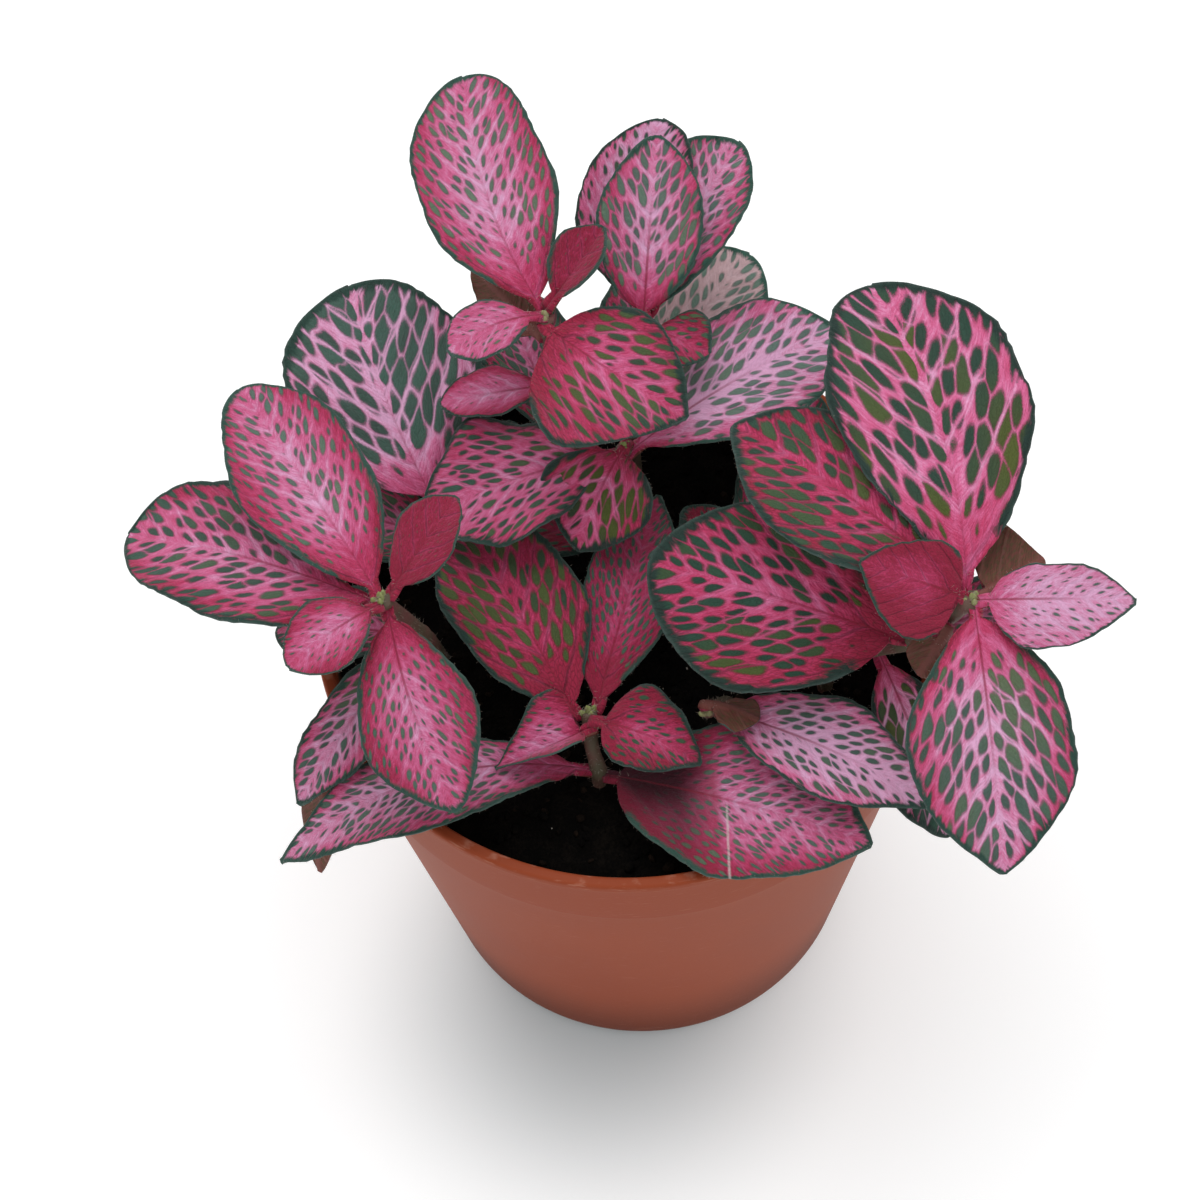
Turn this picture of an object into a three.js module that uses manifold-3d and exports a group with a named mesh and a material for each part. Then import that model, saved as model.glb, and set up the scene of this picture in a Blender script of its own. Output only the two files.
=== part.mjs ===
// A nerve plant (Fittonia) in its terracotta-coloured nursery pot.
// Millimetres, +Z up, with the origin at the centre of the pot's underside.
// The plant is nine leafy stems. Each stem, its bud and its leaves grew as one piece.
import * as THREE from 'three';
import { mergeVertices } from 'three/addons/utils/BufferGeometryUtils.js';
import Module from 'manifold-3d';

const wasm = await Module();
wasm.setup();

// Pot: a 12 cm nursery pot, conical, with a deeper band under a rounded lip.
const POT_HEIGHT = 108;
const RIM_RADIUS = 60;
const BAND_HEIGHT = 18;
const BAND_RADIUS = 57.8;
const WALL_RADIUS = 57.2;
const BASE_RADIUS = 41.5;
const BASE_ROUND = 4;
const WALL = 1.6;
const FLOOR = 2.4;
const LIP_HEIGHT = 2.6;
const LIP_WIDTH = 2.4;
const LIP_ROUND = 0.7;
const LIP_OVERHANG = 0.9;
const POT_SIDES = 40;

// Drain holes, in a ring round the solid middle of the floor.
const DRAIN_COUNT = 6;
const DRAIN_RING = 28;
const DRAIN_RADIUS = 3;
const HOLE_SIDES = 12;

// Soil: it fills the pot to below the lip, with a crumbly top.
const SOIL_TOP = 98.5;
const SOIL_CRUMBLE = 0.9;
const SOIL_RINGS = 4;
const GAP = 0.3;

// Stems and leaves.
const STEM_RADIUS = 1.6;
const STEM_SIDES = 7;
const STEM_STEPS = 8;
const STEM_DEPTH = 12;
const BUD_RADIUS = 2.3;
const BLADE = 0.7;
const STALK_THICK = 1.7;
const STALK_WIDTH = 2;
const STALK_LENGTH = 3;
const ACROSS = 4;
const LARGE_LEAF = 26;
const BASE_POWER = 0.64;
const TIP_POWER = 0.6;
const FULL = 0.52;
const FOLD = 6;
const WAVE = 0.6;
const RIPPLES = 2.5;
const SKEW = 0.3;

// Each leaf runs from base to tip. Width is the blade's full width, and roll turns it about
// its length. Bow lifts the middle of the midrib, sweep bends it sideways, fold lifts both
// sides, and wave is the height of the ripples along the margin. Full is where the blade is
// widest, as a share of its length, and point is low for a blunt tip and high for a sharp one.
// Tilt moves the widest place towards the tip on the right side and towards the base on the
// left, and lean makes the right side wider than the left.
const SHOOTS = {
  shoot_top: {
    path: [[-10, 30], [-10, 31, 112], [-11, 33, 136], [-12, 35, 155]],
    leaves: [
      { base: [-12, 36, 155], tip: [-24, 80, 170], width: 26, bow: 2, sweep: -3.5, point: 0.42 },
      { base: [-12, 35, 156], tip: [-30, 26, 159], width: 12.5, bow: 1, sweep: 1.5, wave: 0.3 },
      {
        base: [-13, 34, 155], tip: [13, 18, 144], width: 33, bow: 3, sweep: 2,
        full: 0.4, point: 0.85, tilt: -0.08, lean: 0.2,
      },
      { base: [-12, 36, 156], tip: [0, 46, 167], width: 11, fold: 25, wave: 0.3 },
      { base: [-12, 34, 149], tip: [-25, 55, 144], width: 13, roll: 140, wave: 0.4 },
      { base: [-11, 33, 135], tip: [-33, 31, 134], width: 11, bow: 1, wave: 0.4 },
      { base: [-10, 31, 113], tip: [-21, 68, 117], width: 19, bow: 3 },
    ],
  },
  shoot_back: {
    path: [[3, 33], [3, 35, 114], [4, 38, 130], [6, 39, 145]],
    leaves: [
      { base: [6, 38, 145], tip: [11, 65, 168], width: 20, bow: 1, full: 0.5 },
      { base: [6, 39, 144], tip: [12, 73, 162], width: 22, bow: 2, sweep: -3, point: 0.5 },
      {
        base: [6, 39, 144], tip: [26, 69, 159], width: 21, bow: 2, wave: 1.2,
        full: 0.6, point: 0.5, lean: -0.15,
      },
      { base: [3, 37, 121], tip: [28, 62, 131], width: 23, bow: 1, full: 0.62, point: 0.5 },
      { base: [6, 39, 144], tip: [18, 32, 143], width: 14, bow: 1, wave: 0.4, point: 0.8 },
      { base: [3, 36, 113], tip: [10, 74, 116], width: 18, bow: 4 },
      { base: [4, 37, 124], tip: [34, 52, 119], width: 18, bow: 2 },
    ],
  },
  shoot_middle: {
    path: [[-2, 10], [-3, 11, 110], [-2, 17, 121], [1, 21, 130]],
    leaves: [
      { base: [1, 20, 129], tip: [43, 40, 136], width: 28, bow: 2, sweep: -1, full: 0.6 },
      { base: [1, 21, 129], tip: [-37, 12, 125], width: 27, bow: 3, wave: 2, full: 0.58, point: 0.5 },
      { base: [2, 22, 131], tip: [-9, 4, 122], width: 22.5, bow: 4, full: 0.46, point: 0.75 },
      { base: [-3, 11, 109], tip: [-18, 18, 110], width: 14, bow: 2 },
    ],
  },
  shoot_mature: {
    path: [[-30, 14], [-30, 15, 106], [-33, 17, 113], [-36, 19, 118]],
    leaves: [
      { base: [-35, 18, 118], tip: [-49, 58, 136], width: 38, bow: 3, sweep: -2, wave: 1, point: 0.45 },
      { base: [-31, 15, 108], tip: [-68, 25, 113], width: 20, bow: 3 },
      { base: [-31, 16, 108], tip: [-20, 40, 112], width: 16, bow: 2 },
    ],
  },
  shoot_left: {
    path: [[-36, -8], [-37, -9, 112], [-41, -13, 130], [-45, -16, 144]],
    leaves: [
      { base: [-45, -16, 144], tip: [-69, 26, 152], width: 24.5, bow: 2, wave: 0.8, point: 0.5 },
      {
        base: [-45, -16, 142], tip: [-92, 7, 134], width: 29, bow: 4,
        full: 0.58, point: 0.5, tilt: 0.12,
      },
      { base: [-44, -16, 144], tip: [-30, -1, 153], width: 13, bow: 1, wave: 0.3, point: 0.7 },
      { base: [-45, -17, 144], tip: [-62, -30, 146], width: 15.5, bow: 2, wave: 0.3 },
      { base: [-44, -16, 142], tip: [-34, -50, 124], width: 22, bow: 3, sweep: 2, point: 0.7 },
      { base: [-39, -11, 122], tip: [-64, -38, 108], width: 13.5, bow: 3, point: 0.7 },
      { base: [-38, -10, 117], tip: [-67, -3, 112], width: 17, bow: 3 },
      { base: [-39, -11, 121], tip: [-62, -42, 88], width: 10, roll: 180, bow: -8, sweep: -3 },
    ],
  },
  shoot_front: {
    path: [[-8, -33], [-8, -33, 104], [-9, -30, 109], [-9, -26, 114]],
    leaves: [
      { base: [-11, -27, 113], tip: [-31, 15, 120], width: 26, bow: 2, full: 0.52 },
      { base: [-8, -26, 113], tip: [7, 18, 117], width: 18, bow: 2, full: 0.5, point: 0.8 },
      {
        base: [-8, -29, 114], tip: [-27, -36, 113], width: 23, roll: 14, fold: 42, wave: 0.4,
        full: 0.22, point: 1.1, lean: -0.1,
      },
      {
        base: [-9, -28, 115], tip: [11, -38, 113], width: 17, bow: 3, wave: 1,
        full: 0.36, point: 0.75, lean: -0.1,
      },
      {
        base: [-9, -33, 104], tip: [-68, -47, 103], width: 18, bow: 10, sweep: 3, wave: 1,
        point: 0.8, lean: -0.15,
      },
      { base: [-7, -34, 104], tip: [41, -56, 111], width: 33, bow: 3, full: 0.5, point: 0.8 },
    ],
  },
  shoot_right: {
    path: [[36, -16], [38, -17, 112], [51, -25, 131], [61, -27, 148]],
    leaves: [
      {
        base: [60, -25, 147], tip: [48, 35, 158], width: 36, bow: 3, sweep: 4, wave: 0.8,
        full: 0.56, point: 0.45,
      },
      { base: [60, -25, 147], tip: [21, 12, 150], width: 29, bow: 4, full: 0.52, point: 0.7 },
      {
        base: [61, -27, 148], tip: [41, -21, 154], width: 19, roll: -25, bow: 1, wave: 0.4,
        full: 0.33, point: 0.8, lean: -0.1,
      },
      {
        base: [61, -27, 148], tip: [89, -33, 154], width: 17, roll: 10, bow: 1, wave: 0.9,
        full: 0.45, point: 0.8, lean: 0.15,
      },
      { base: [61, -27, 148], tip: [63, -70, 124], width: 30.5, bow: 4, wave: 0.8, point: 0.8 },
      {
        base: [61, -27, 147], tip: [75, -16, 142], width: 20, roll: 195, wave: 0.4, full: 0.64,
        point: 0.7, lean: 0.5,
      },
      { base: [57, -28, 142], tip: [51, -34, 134], width: 9, roll: 160, wave: 0.4 },
      { base: [50, -25, 131], tip: [4, -6, 134], width: 36, roll: -20, bow: 3, wave: 0.7, lean: -0.06 },
      { base: [45, -21, 121], tip: [56, -51, 102], width: 18, bow: 3 },
      { base: [49, -24, 128], tip: [80, -13, 122], width: 16, bow: 3 },
      { base: [42, -19, 117], tip: [61, 8, 120], width: 15, bow: 2 },
    ],
  },
  shoot_low: {
    path: [[17, -22], [17, -22, 106], [15, -25, 111], [13, -28, 115]],
    leaves: [
      { base: [14, -27, 114], tip: [53, -51, 115], width: 20, bow: 4, full: 0.5, point: 0.8 },
      { base: [12, -28, 116], tip: [22, -33, 119], width: 10, roll: 160, bow: -1, wave: 0.4 },
    ],
  },
  shoot_inner: {
    path: [[24, -4], [24, -4, 102], [24, -3, 105], [24, -2, 108]],
    leaves: [
      { base: [24, -3, 107], tip: [12, 18, 112], width: 14, bow: 2 },
      { base: [24, -2, 108], tip: [27, 20, 112], width: 12, bow: 2 },
      { base: [24, -3, 107], tip: [60, 18, 115], width: 22, bow: 2 },
      { base: [24, -2, 107], tip: [37, 42, 115], width: 18, bow: 2 },
    ],
  },
};

const vector = (point) => new THREE.Vector3(...point);

// The closed surface of a three.js geometry as a solid that can be joined and cut.
function solid(geometry) {
  const bare = geometry.index ? geometry.toNonIndexed() : geometry.clone();
  bare.deleteAttribute('normal');
  bare.deleteAttribute('uv');
  const merged = mergeVertices(bare, 1e-4);
  return new wasm.Manifold(new wasm.Mesh({
    numProp: 3,
    vertProperties: new Float32Array(merged.attributes.position.array),
    triVerts: new Uint32Array(merged.index.array),
  }));
}

function geometryOf(shape) {
  const mesh = shape.getMesh();
  const geometry = new THREE.BufferGeometry();
  geometry.setAttribute('position', new THREE.BufferAttribute(mesh.vertProperties, 3));
  geometry.setIndex(new THREE.BufferAttribute(mesh.triVerts, 1));
  geometry.computeVertexNormals();
  return geometry;
}

function material(color, roughness) {
  return new THREE.MeshStandardMaterial({ color, roughness, metalness: 0 });
}

// A repeatable pseudo-random number from 0 to 1 for a whole number.
function scatter(seed) {
  const wave = Math.sin(seed * 127.1 + 311.7) * 43758.5453;
  return wave - Math.floor(wave);
}

// ---- Pot ----

const BAND_FOOT = POT_HEIGHT - BAND_HEIGHT;
const INNER_RIM = RIM_RADIUS - LIP_WIDTH;

// The inner wall's radius at a height: one cone up to the band, and a second up to the lip.
function innerRadius(z) {
  const [foot, shoulder] = [BASE_RADIUS - WALL, WALL_RADIUS - WALL];
  if (z < BAND_FOOT) {
    return THREE.MathUtils.mapLinear(z, 0, BAND_FOOT, foot, shoulder);
  }
  return THREE.MathUtils.mapLinear(z, BAND_FOOT, POT_HEIGHT, shoulder, INNER_RIM);
}

function lathe(profile, sides) {
  const points = profile.map(([r, z]) => new THREE.Vector2(r, z));
  return new THREE.LatheGeometry(points, sides).rotateX(Math.PI / 2);
}

function makePot() {
  const lipFoot = POT_HEIGHT - LIP_HEIGHT;
  const profile = [
    [0, 0],
    [BASE_RADIUS - BASE_ROUND, 0],
    [BASE_RADIUS - 0.3 * BASE_ROUND, 0.25 * BASE_ROUND],
    [BASE_RADIUS + 0.15 * BASE_ROUND, BASE_ROUND],
    [WALL_RADIUS, BAND_FOOT],
    [BAND_RADIUS, BAND_FOOT + 1],
    [RIM_RADIUS - LIP_OVERHANG, lipFoot],
    [RIM_RADIUS, lipFoot + LIP_ROUND],
    [RIM_RADIUS, POT_HEIGHT - LIP_ROUND],
    [RIM_RADIUS - LIP_ROUND, POT_HEIGHT],
    [INNER_RIM + LIP_ROUND, POT_HEIGHT],
    [INNER_RIM, POT_HEIGHT - LIP_ROUND],
    [innerRadius(BAND_FOOT), BAND_FOOT],
    [innerRadius(FLOOR), FLOOR],
    [0, FLOOR],
  ];
  let pot = solid(lathe(profile, POT_SIDES));
  for (let k = 0; k < DRAIN_COUNT; k += 1) {
    const turn = (k / DRAIN_COUNT) * 2 * Math.PI;
    const hole = new THREE.CylinderGeometry(DRAIN_RADIUS, DRAIN_RADIUS, 3 * FLOOR, HOLE_SIDES);
    hole.rotateX(Math.PI / 2);
    hole.translate(DRAIN_RING * Math.cos(turn), DRAIN_RING * Math.sin(turn), FLOOR / 2);
    pot = pot.subtract(solid(hole));
  }
  return pot;
}

// ---- Soil ----

// The soil's top is pushed up and down a little at each point inside its edge.
function makeSoil() {
  const edge = innerRadius(SOIL_TOP) - GAP;
  const profile = [[0, FLOOR + GAP], [innerRadius(FLOOR + GAP) - GAP, FLOOR + GAP]];
  profile.push([innerRadius(BAND_FOOT) - GAP, BAND_FOOT]);
  for (let k = 0; k < SOIL_RINGS; k += 1) {
    profile.push([edge * (1 - k / SOIL_RINGS), SOIL_TOP]);
  }
  profile.push([0, SOIL_TOP]);
  const geometry = lathe(profile, POT_SIDES);
  const position = geometry.attributes.position;
  for (let k = 0; k < position.count; k += 1) {
    const x = position.getX(k);
    const y = position.getY(k);
    const inside = Math.hypot(x, y) < edge - 1 && position.getZ(k) > SOIL_TOP - 0.5;
    const cell = Math.round(x * 4) * 31 + Math.round(y * 4) * 57;
    if (inside) {
      position.setZ(k, SOIL_TOP + SOIL_CRUMBLE * (2 * scatter(cell) - 1));
    }
  }
  return solid(geometry);
}

// A plain hole for a stem, a little wider and deeper than what stands in it.
function stemHole([x, y]) {
  const radius = STEM_RADIUS + GAP;
  const depth = STEM_DEPTH + GAP;
  const hole = new THREE.CylinderGeometry(radius, radius, 2 * depth, HOLE_SIDES);
  return solid(hole.rotateX(Math.PI / 2).translate(x, y, SOIL_TOP));
}

// ---- Leafy stems ----

function stemCurve(path) {
  const [foot, ...rest] = path;
  const buried = new THREE.Vector3(foot[0], foot[1], SOIL_TOP - STEM_DEPTH);
  const surface = new THREE.Vector3(foot[0], foot[1], SOIL_TOP + 1);
  return new THREE.CatmullRomCurve3([buried, surface, ...rest.map(vector)], false, 'centripetal');
}

function makeStem(path) {
  const section = new THREE.Shape();
  for (let k = 0; k < STEM_SIDES; k += 1) {
    const turn = (k / STEM_SIDES) * 2 * Math.PI;
    const at = [STEM_RADIUS * Math.cos(turn), STEM_RADIUS * Math.sin(turn)];
    if (k === 0) {
      section.moveTo(...at);
    } else {
      section.lineTo(...at);
    }
  }
  const options = { steps: STEM_STEPS, extrudePath: stemCurve(path), bevelEnabled: false };
  return solid(new THREE.ExtrudeGeometry(section, options));
}

function makeBud(path) {
  const top = path[path.length - 1];
  const bud = new THREE.SphereGeometry(BUD_RADIUS, 6, 5).rotateX(Math.PI / 2).scale(1, 1, 1.2);
  return solid(bud.translate(...top));
}

// Half the leaf's width at a share u of its length: a slim stalk, then an oval blade that
// comes to a blunt point.
function halfWidth(leaf, length, u, v) {
  const stalk = STALK_LENGTH / length;
  const blade = Math.max(0, (u - stalk) / (1 - stalk));
  const full = (leaf.full ?? FULL) + (leaf.tilt ?? 0) * Math.sign(v);
  const skew = Math.log(0.5) / Math.log(full);
  const turn = Math.PI * blade ** skew;
  const power = turn < Math.PI / 2 ? BASE_POWER : (leaf.point ?? TIP_POWER);
  const oval = Math.max(0, Math.sin(turn)) ** power * (1 + (leaf.lean ?? 0) * Math.sign(v));
  return Math.max(STALK_WIDTH / 2 * (1 - 0.5 * u), leaf.width / 2 * oval);
}

// The leaf's middle surface: u runs along the midrib, v from one margin (-1) to the other (1).
function leafPoint(leaf, u, v) {
  const base = vector(leaf.base);
  const along = vector(leaf.tip).sub(base);
  const length = along.length();
  along.normalize();
  const face = new THREE.Vector3(0, 0, 1).addScaledVector(along, -along.z).normalize();
  face.applyAxisAngle(along, THREE.MathUtils.degToRad(leaf.roll ?? 0));
  const side = along.clone().cross(face);
  const arch = 4 * u * (1 - u);
  const half = halfWidth(leaf, length, u, v);
  const fold = THREE.MathUtils.degToRad(leaf.fold ?? FOLD);
  const ripple = Math.sin(2 * Math.PI * (RIPPLES * u + SKEW * v) + leaf.width);
  const lift = (leaf.bow ?? 0) * arch + Math.abs(v) * half * Math.sin(fold)
    + (leaf.wave ?? WAVE) * Math.abs(v) ** 3 * ripple * Math.min(1, 2 * half / leaf.width);
  return base.addScaledVector(along, length * u)
    .addScaledVector(side, (leaf.sweep ?? 0) * arch + v * half * Math.cos(fold))
    .addScaledVector(face, lift);
}

// The leaf's upward direction at a point, square to its surface there.
function leafNormal(leaf, u, v) {
  const step = 0.01;
  const forward = leafPoint(leaf, u + step, v).sub(leafPoint(leaf, u - step, v));
  const sideways = leafPoint(leaf, u, v + step).sub(leafPoint(leaf, u, v - step));
  return sideways.cross(forward).normalize();
}

// A thin closed blade: the same grid of triangles on both faces, joined round the edge.
function makeLeaf(leaf) {
  const length = vector(leaf.tip).distanceTo(vector(leaf.base));
  const along = length > LARGE_LEAF ? 8 : 6;
  const columns = ACROSS + 1;
  const top = [];
  const under = [];
  for (let i = 0; i <= along; i += 1) {
    const u = i / along;
    const stalk = Math.max(0, 1 - u * length / STALK_LENGTH);
    const thick = BLADE + (STALK_THICK - BLADE) * stalk;
    for (let j = 0; j < columns; j += 1) {
      const v = 2 * j / ACROSS - 1;
      const middle = leafPoint(leaf, u, v);
      const normal = leafNormal(leaf, u, v);
      top.push(middle.clone().addScaledVector(normal, thick / 2));
      under.push(middle.clone().addScaledVector(normal, -thick / 2));
    }
  }
  const count = top.length;
  const faces = [];
  const quad = (a, b, c, d) => faces.push(a, b, c, a, c, d);
  for (let i = 0; i < along; i += 1) {
    for (let j = 0; j < ACROSS; j += 1) {
      const a = i * columns + j;
      const b = a + columns;
      quad(a, a + 1, b + 1, b);
      faces.push(a + count, b + 1 + count, a + 1 + count, a + count, b + count, b + 1 + count);
    }
    const left = i * columns;
    const right = left + ACROSS;
    quad(left + count, left, left + columns, left + columns + count);
    quad(right, right + count, right + columns + count, right + columns);
  }
  for (let j = 0; j < ACROSS; j += 1) {
    const last = along * columns + j;
    quad(j + count, j + 1 + count, j + 1, j);
    quad(last, last + 1, last + 1 + count, last + count);
  }
  const geometry = new THREE.BufferGeometry();
  const positions = [...top, ...under].flatMap((point) => point.toArray());
  geometry.setAttribute('position', new THREE.Float32BufferAttribute(positions, 3));
  geometry.setIndex(faces);
  return solid(geometry);
}

function makeShoot({ path, leaves }) {
  let shoot = makeStem(path).add(makeBud(path));
  for (const leaf of leaves) {
    shoot = shoot.add(makeLeaf(leaf));
  }
  return shoot;
}

// ---- Assembly ----

const plant = new THREE.Group();

function place(name, shape, finish) {
  const mesh = new THREE.Mesh(geometryOf(shape), finish);
  mesh.name = name;
  plant.add(mesh);
}

let soil = makeSoil();
for (const { path } of Object.values(SHOOTS)) {
  soil = soil.subtract(stemHole(path[0]));
}
place('pot', makePot(), material(0x9a5340, 0.55));
place('soil', soil, material(0x1d1512, 0.95));
for (const [name, shoot] of Object.entries(SHOOTS)) {
  place(name, makeShoot(shoot), material(0xc2446c, 0.6));
}

export default plant;
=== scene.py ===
# %% [markdown]
# # A nerve plant in its pot
# The real thing is a small Fittonia: nine soft leafy stems that stand in dark peat, in a
# conical nursery pot of terracotta-coloured plastic. Its leaves are the whole show, so most
# of this lesson is about them. The measured model is loaded first, as a fixed frame in
# metres with the origin under the middle of the pot, and every piece below is made in place.

# %% Load the frame
import math
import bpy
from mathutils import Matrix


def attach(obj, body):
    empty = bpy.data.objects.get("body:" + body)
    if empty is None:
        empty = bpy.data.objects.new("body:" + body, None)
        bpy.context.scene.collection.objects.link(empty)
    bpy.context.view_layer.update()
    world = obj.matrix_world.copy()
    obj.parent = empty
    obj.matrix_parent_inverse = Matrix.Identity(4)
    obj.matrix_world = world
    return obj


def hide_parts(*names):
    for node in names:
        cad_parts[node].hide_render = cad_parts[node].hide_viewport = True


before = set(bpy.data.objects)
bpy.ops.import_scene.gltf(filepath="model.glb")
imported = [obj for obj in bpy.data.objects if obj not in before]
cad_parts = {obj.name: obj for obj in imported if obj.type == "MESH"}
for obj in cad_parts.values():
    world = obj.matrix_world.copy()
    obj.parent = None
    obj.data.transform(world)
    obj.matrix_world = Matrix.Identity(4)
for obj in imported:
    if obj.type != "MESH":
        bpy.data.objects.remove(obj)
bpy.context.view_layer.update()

from types import SimpleNamespace

import bpy
import numpy as np
from mathutils import Matrix, Vector, noise

scene = bpy.context.scene
MM = 0.001
print("nodes", sorted(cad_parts))

# %% [markdown]
# ## The camera
# The photograph looks down on the plant from about 60 degrees, from the pot's front, and is
# rolled four degrees. A long lens far away keeps the pot's ellipses as flat as they are in
# the picture. Writing the camera's own axes is surer than a chain of rotations.

# %% Camera
ELEVATION = math.radians(60.26)
ROLL = math.radians(-3.99)
DISTANCE = 0.8
TARGET = Vector((-0.00553, 0, 0.11004))
LENS = 126.6
SENSOR = 36


def make_camera():
    """A camera with the photograph's viewing angle, made the scene's camera."""
    look = Vector((0, math.cos(ELEVATION), -math.sin(ELEVATION)))
    right = Vector((1, 0, 0))
    up = right.cross(look)
    picture_right = right * math.cos(ROLL) + up * math.sin(ROLL)
    picture_up = up * math.cos(ROLL) - right * math.sin(ROLL)
    camera = bpy.data.objects.new("camera", bpy.data.cameras.new("camera"))
    scene.collection.objects.link(camera)
    axes = Matrix((picture_right, picture_up, -look)).transposed().to_4x4()
    camera.matrix_world = Matrix.Translation(TARGET - look * DISTANCE) @ axes
    camera.data.lens = LENS
    camera.data.sensor_width = SENSOR
    camera.data.clip_start, camera.data.clip_end = 0.05, 50
    return camera


scene.camera = make_camera()
print("camera at", tuple(round(c, 3) for c in scene.camera.location))

# %% [markdown]
# ## Shader maths
# A material is a small program. Written node by node it is long and hard to read, so one
# class wraps a socket and lets ordinary arithmetic add the Math nodes. Its node method adds
# any other node: the settings first, because they can change which sockets a node has.


# %% A socket that can do sums
class Wire:
    """An output socket in a material's node tree, used like a number."""

    def __init__(self, tree, socket=None):
        self.tree = tree
        self.socket = socket

    def node(self, kind, settings=None, sockets=None, output=0):
        """Adds a node: first its settings, then the value or link of each socket."""
        made = self.tree.nodes.new("ShaderNode" + kind)
        for name, value in (settings or {}).items():
            if name == "stops":
                set_stops(made.color_ramp, value)
            else:
                setattr(made, name, value)
        for name, value in (sockets or {}).items():
            self.plug(made.inputs[name], value)
        return Wire(self.tree, made.outputs[output])

    def plug(self, socket, value):
        """Links a wire to a socket, or sets the socket to a plain value."""
        if isinstance(value, Wire):
            self.tree.links.new(value.socket, socket)
        else:
            socket.default_value = value

    def maths(self, operation, *values):
        """Adds a Math node that works on one, two or three values."""
        return self.node("Math", {"operation": operation}, dict(enumerate(values)))

    def __add__(self, other):
        return self.maths("ADD", self, other)

    def __sub__(self, other):
        return self.maths("SUBTRACT", self, other)

    def __rsub__(self, other):
        return self.maths("SUBTRACT", other, self)

    def __mul__(self, other):
        return self.maths("MULTIPLY", self, other)

    __radd__ = __add__
    __rmul__ = __mul__


def set_stops(ramp, stops):
    """Gives a colour ramp its stops, as (place, colour) pairs."""
    while len(ramp.elements) < len(stops):
        ramp.elements.new(1)
    for element, (place, colour) in zip(ramp.elements, stops):
        element.position = place
        element.color = (*colour, 1)


def step(value, start, end):
    """A soft step from 0 at start to 1 at end."""
    sockets = {"Value": value, "From Min": start, "From Max": end}
    return value.node("MapRange", {"interpolation_type": "SMOOTHSTEP"}, sockets)


def blend(first, second, share):
    """Mixes two colours, of which either may be a wire: share 0 is the first."""
    colours = [c if isinstance(c, Wire) else (*c, 1) for c in (first, second)]
    sockets = {0: share, 6: colours[0], 7: colours[1]}
    return share.node("Mix", {"data_type": "RGBA"}, sockets, output=2)


def shade(colour, factor):
    """A colour made darker or lighter by a factor that varies."""
    settings = {"data_type": "RGBA", "blend_type": "MULTIPLY"}
    colour = colour if isinstance(colour, Wire) else (*colour, 1)
    grey = factor.node("CombineColor", {}, {0: factor, 1: factor, 2: factor})
    return factor.node("Mix", settings, {0: 1.0, 6: colour, 7: grey}, output=2)


print("a wire adds, subtracts and multiplies")

# %% [markdown]
# ## Parts that every material shares
# Each finish below starts the same way: a new material whose fixed values are set straight
# on its shader. It ends the same way too, with colour, roughness and a small relief that
# vary over the surface. Noise and stretched noise stand for most of the irregularity of
# living and moulded things, so they get a helper each.


# %% Materials and their usual nodes
def new_material(name, constants):
    """A material, its first wire and its shader, with the shader's fixed values set."""
    material = bpy.data.materials.new(name)
    material.use_nodes = True
    shader = material.node_tree.nodes["Principled BSDF"]
    for socket, value in constants.items():
        shader.inputs[socket].default_value = value
    return material, Wire(material.node_tree), shader


def finish_surface(shader, colour, roughness, normal):
    """Plugs what varies over a surface into its shader."""
    colour.plug(shader.inputs["Base Color"], colour)
    colour.plug(shader.inputs["Roughness"], roughness)
    colour.plug(shader.inputs["Normal"], normal)


def bumped(height, strength, depth):
    """The normal of a surface that rises with height, over a depth in millimetres."""
    sockets = {"Height": height, "Strength": strength, "Distance": depth * MM}
    return height.node("Bump", {}, sockets)


def cloud(wire, vector, scale, detail):
    """Noise from 0 to 1 over a vector."""
    return wire.node("TexNoise", {}, {"Vector": vector, "Scale": scale, "Detail": detail})


def stretched(wire, vector, factors):
    """A vector with each axis multiplied, which squeezes the noise made from it."""
    return wire.node("VectorMath", {"operation": "MULTIPLY"}, {0: vector, 1: factors})


def parts(wire, vector):
    """The three numbers of a vector."""
    outputs = wire.node("SeparateXYZ", {}, {0: vector}).socket.node.outputs
    return [Wire(wire.tree, outputs[k]) for k in range(3)]


print("helpers for materials ready")

# %% [markdown]
# ## The leaf's form
# A leaf is a slim stalk that opens into an oval blade. Each is given by the line from its
# base to its tip, its width, and how it bows, folds and waves, just as the solids are, so
# the fine leaf lies on the plain one. On top of that come what the eye looks for up close:
# a scalloped margin, a sunken midrib, and the quilting between the side veins. A grid of
# points is enough for all of it, and closes into a thin body with a rib underneath.

# %% Leaf measures, in millimetres
STALK_WIDTH = 2
STALK_LENGTH = 3
BASE_POWER = 0.64
MARGIN_THICKNESS = 0.34
RIB_HALF = 1.15
VEIN_SLANT = 1.05
VEIN_ARCH = 0.3
POINT_SPACING = 0.95
SCALLOP = 3.4

FORM_DEFAULTS = {
    "roll": 0, "bow": 0, "sweep": 0, "fold": 6, "wave": 0.6, "full": 0.52, "point": 0.6,
    "tilt": 0, "lean": 0, "ruffle": 1.3,
}
LOOK_DEFAULTS = {
    "cell": 2.7, "long": 1, "spots": 0.55, "blush": 0.5, "streak": 0.5, "red": 0.35,
    "hue": 0.35, "rim": 1.2, "rib": 0.7, "pale": 0, "veil": 0.25, "crease": 0,
}


def leaf(name, base, tip, width, **traits):
    """One leaf's measures and looks, over the usual ones."""
    place = {"name": name, "base": base, "tip": tip, "width": width}
    return {**place, **FORM_DEFAULTS, **LOOK_DEFAULTS, **traits}


def soft(value, start, end):
    """A soft step on plain numbers."""
    t = np.clip((value - start) / (end - start), 0, 1)
    return t * t * (3 - 2 * t)


print("usual form", FORM_DEFAULTS)

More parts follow.
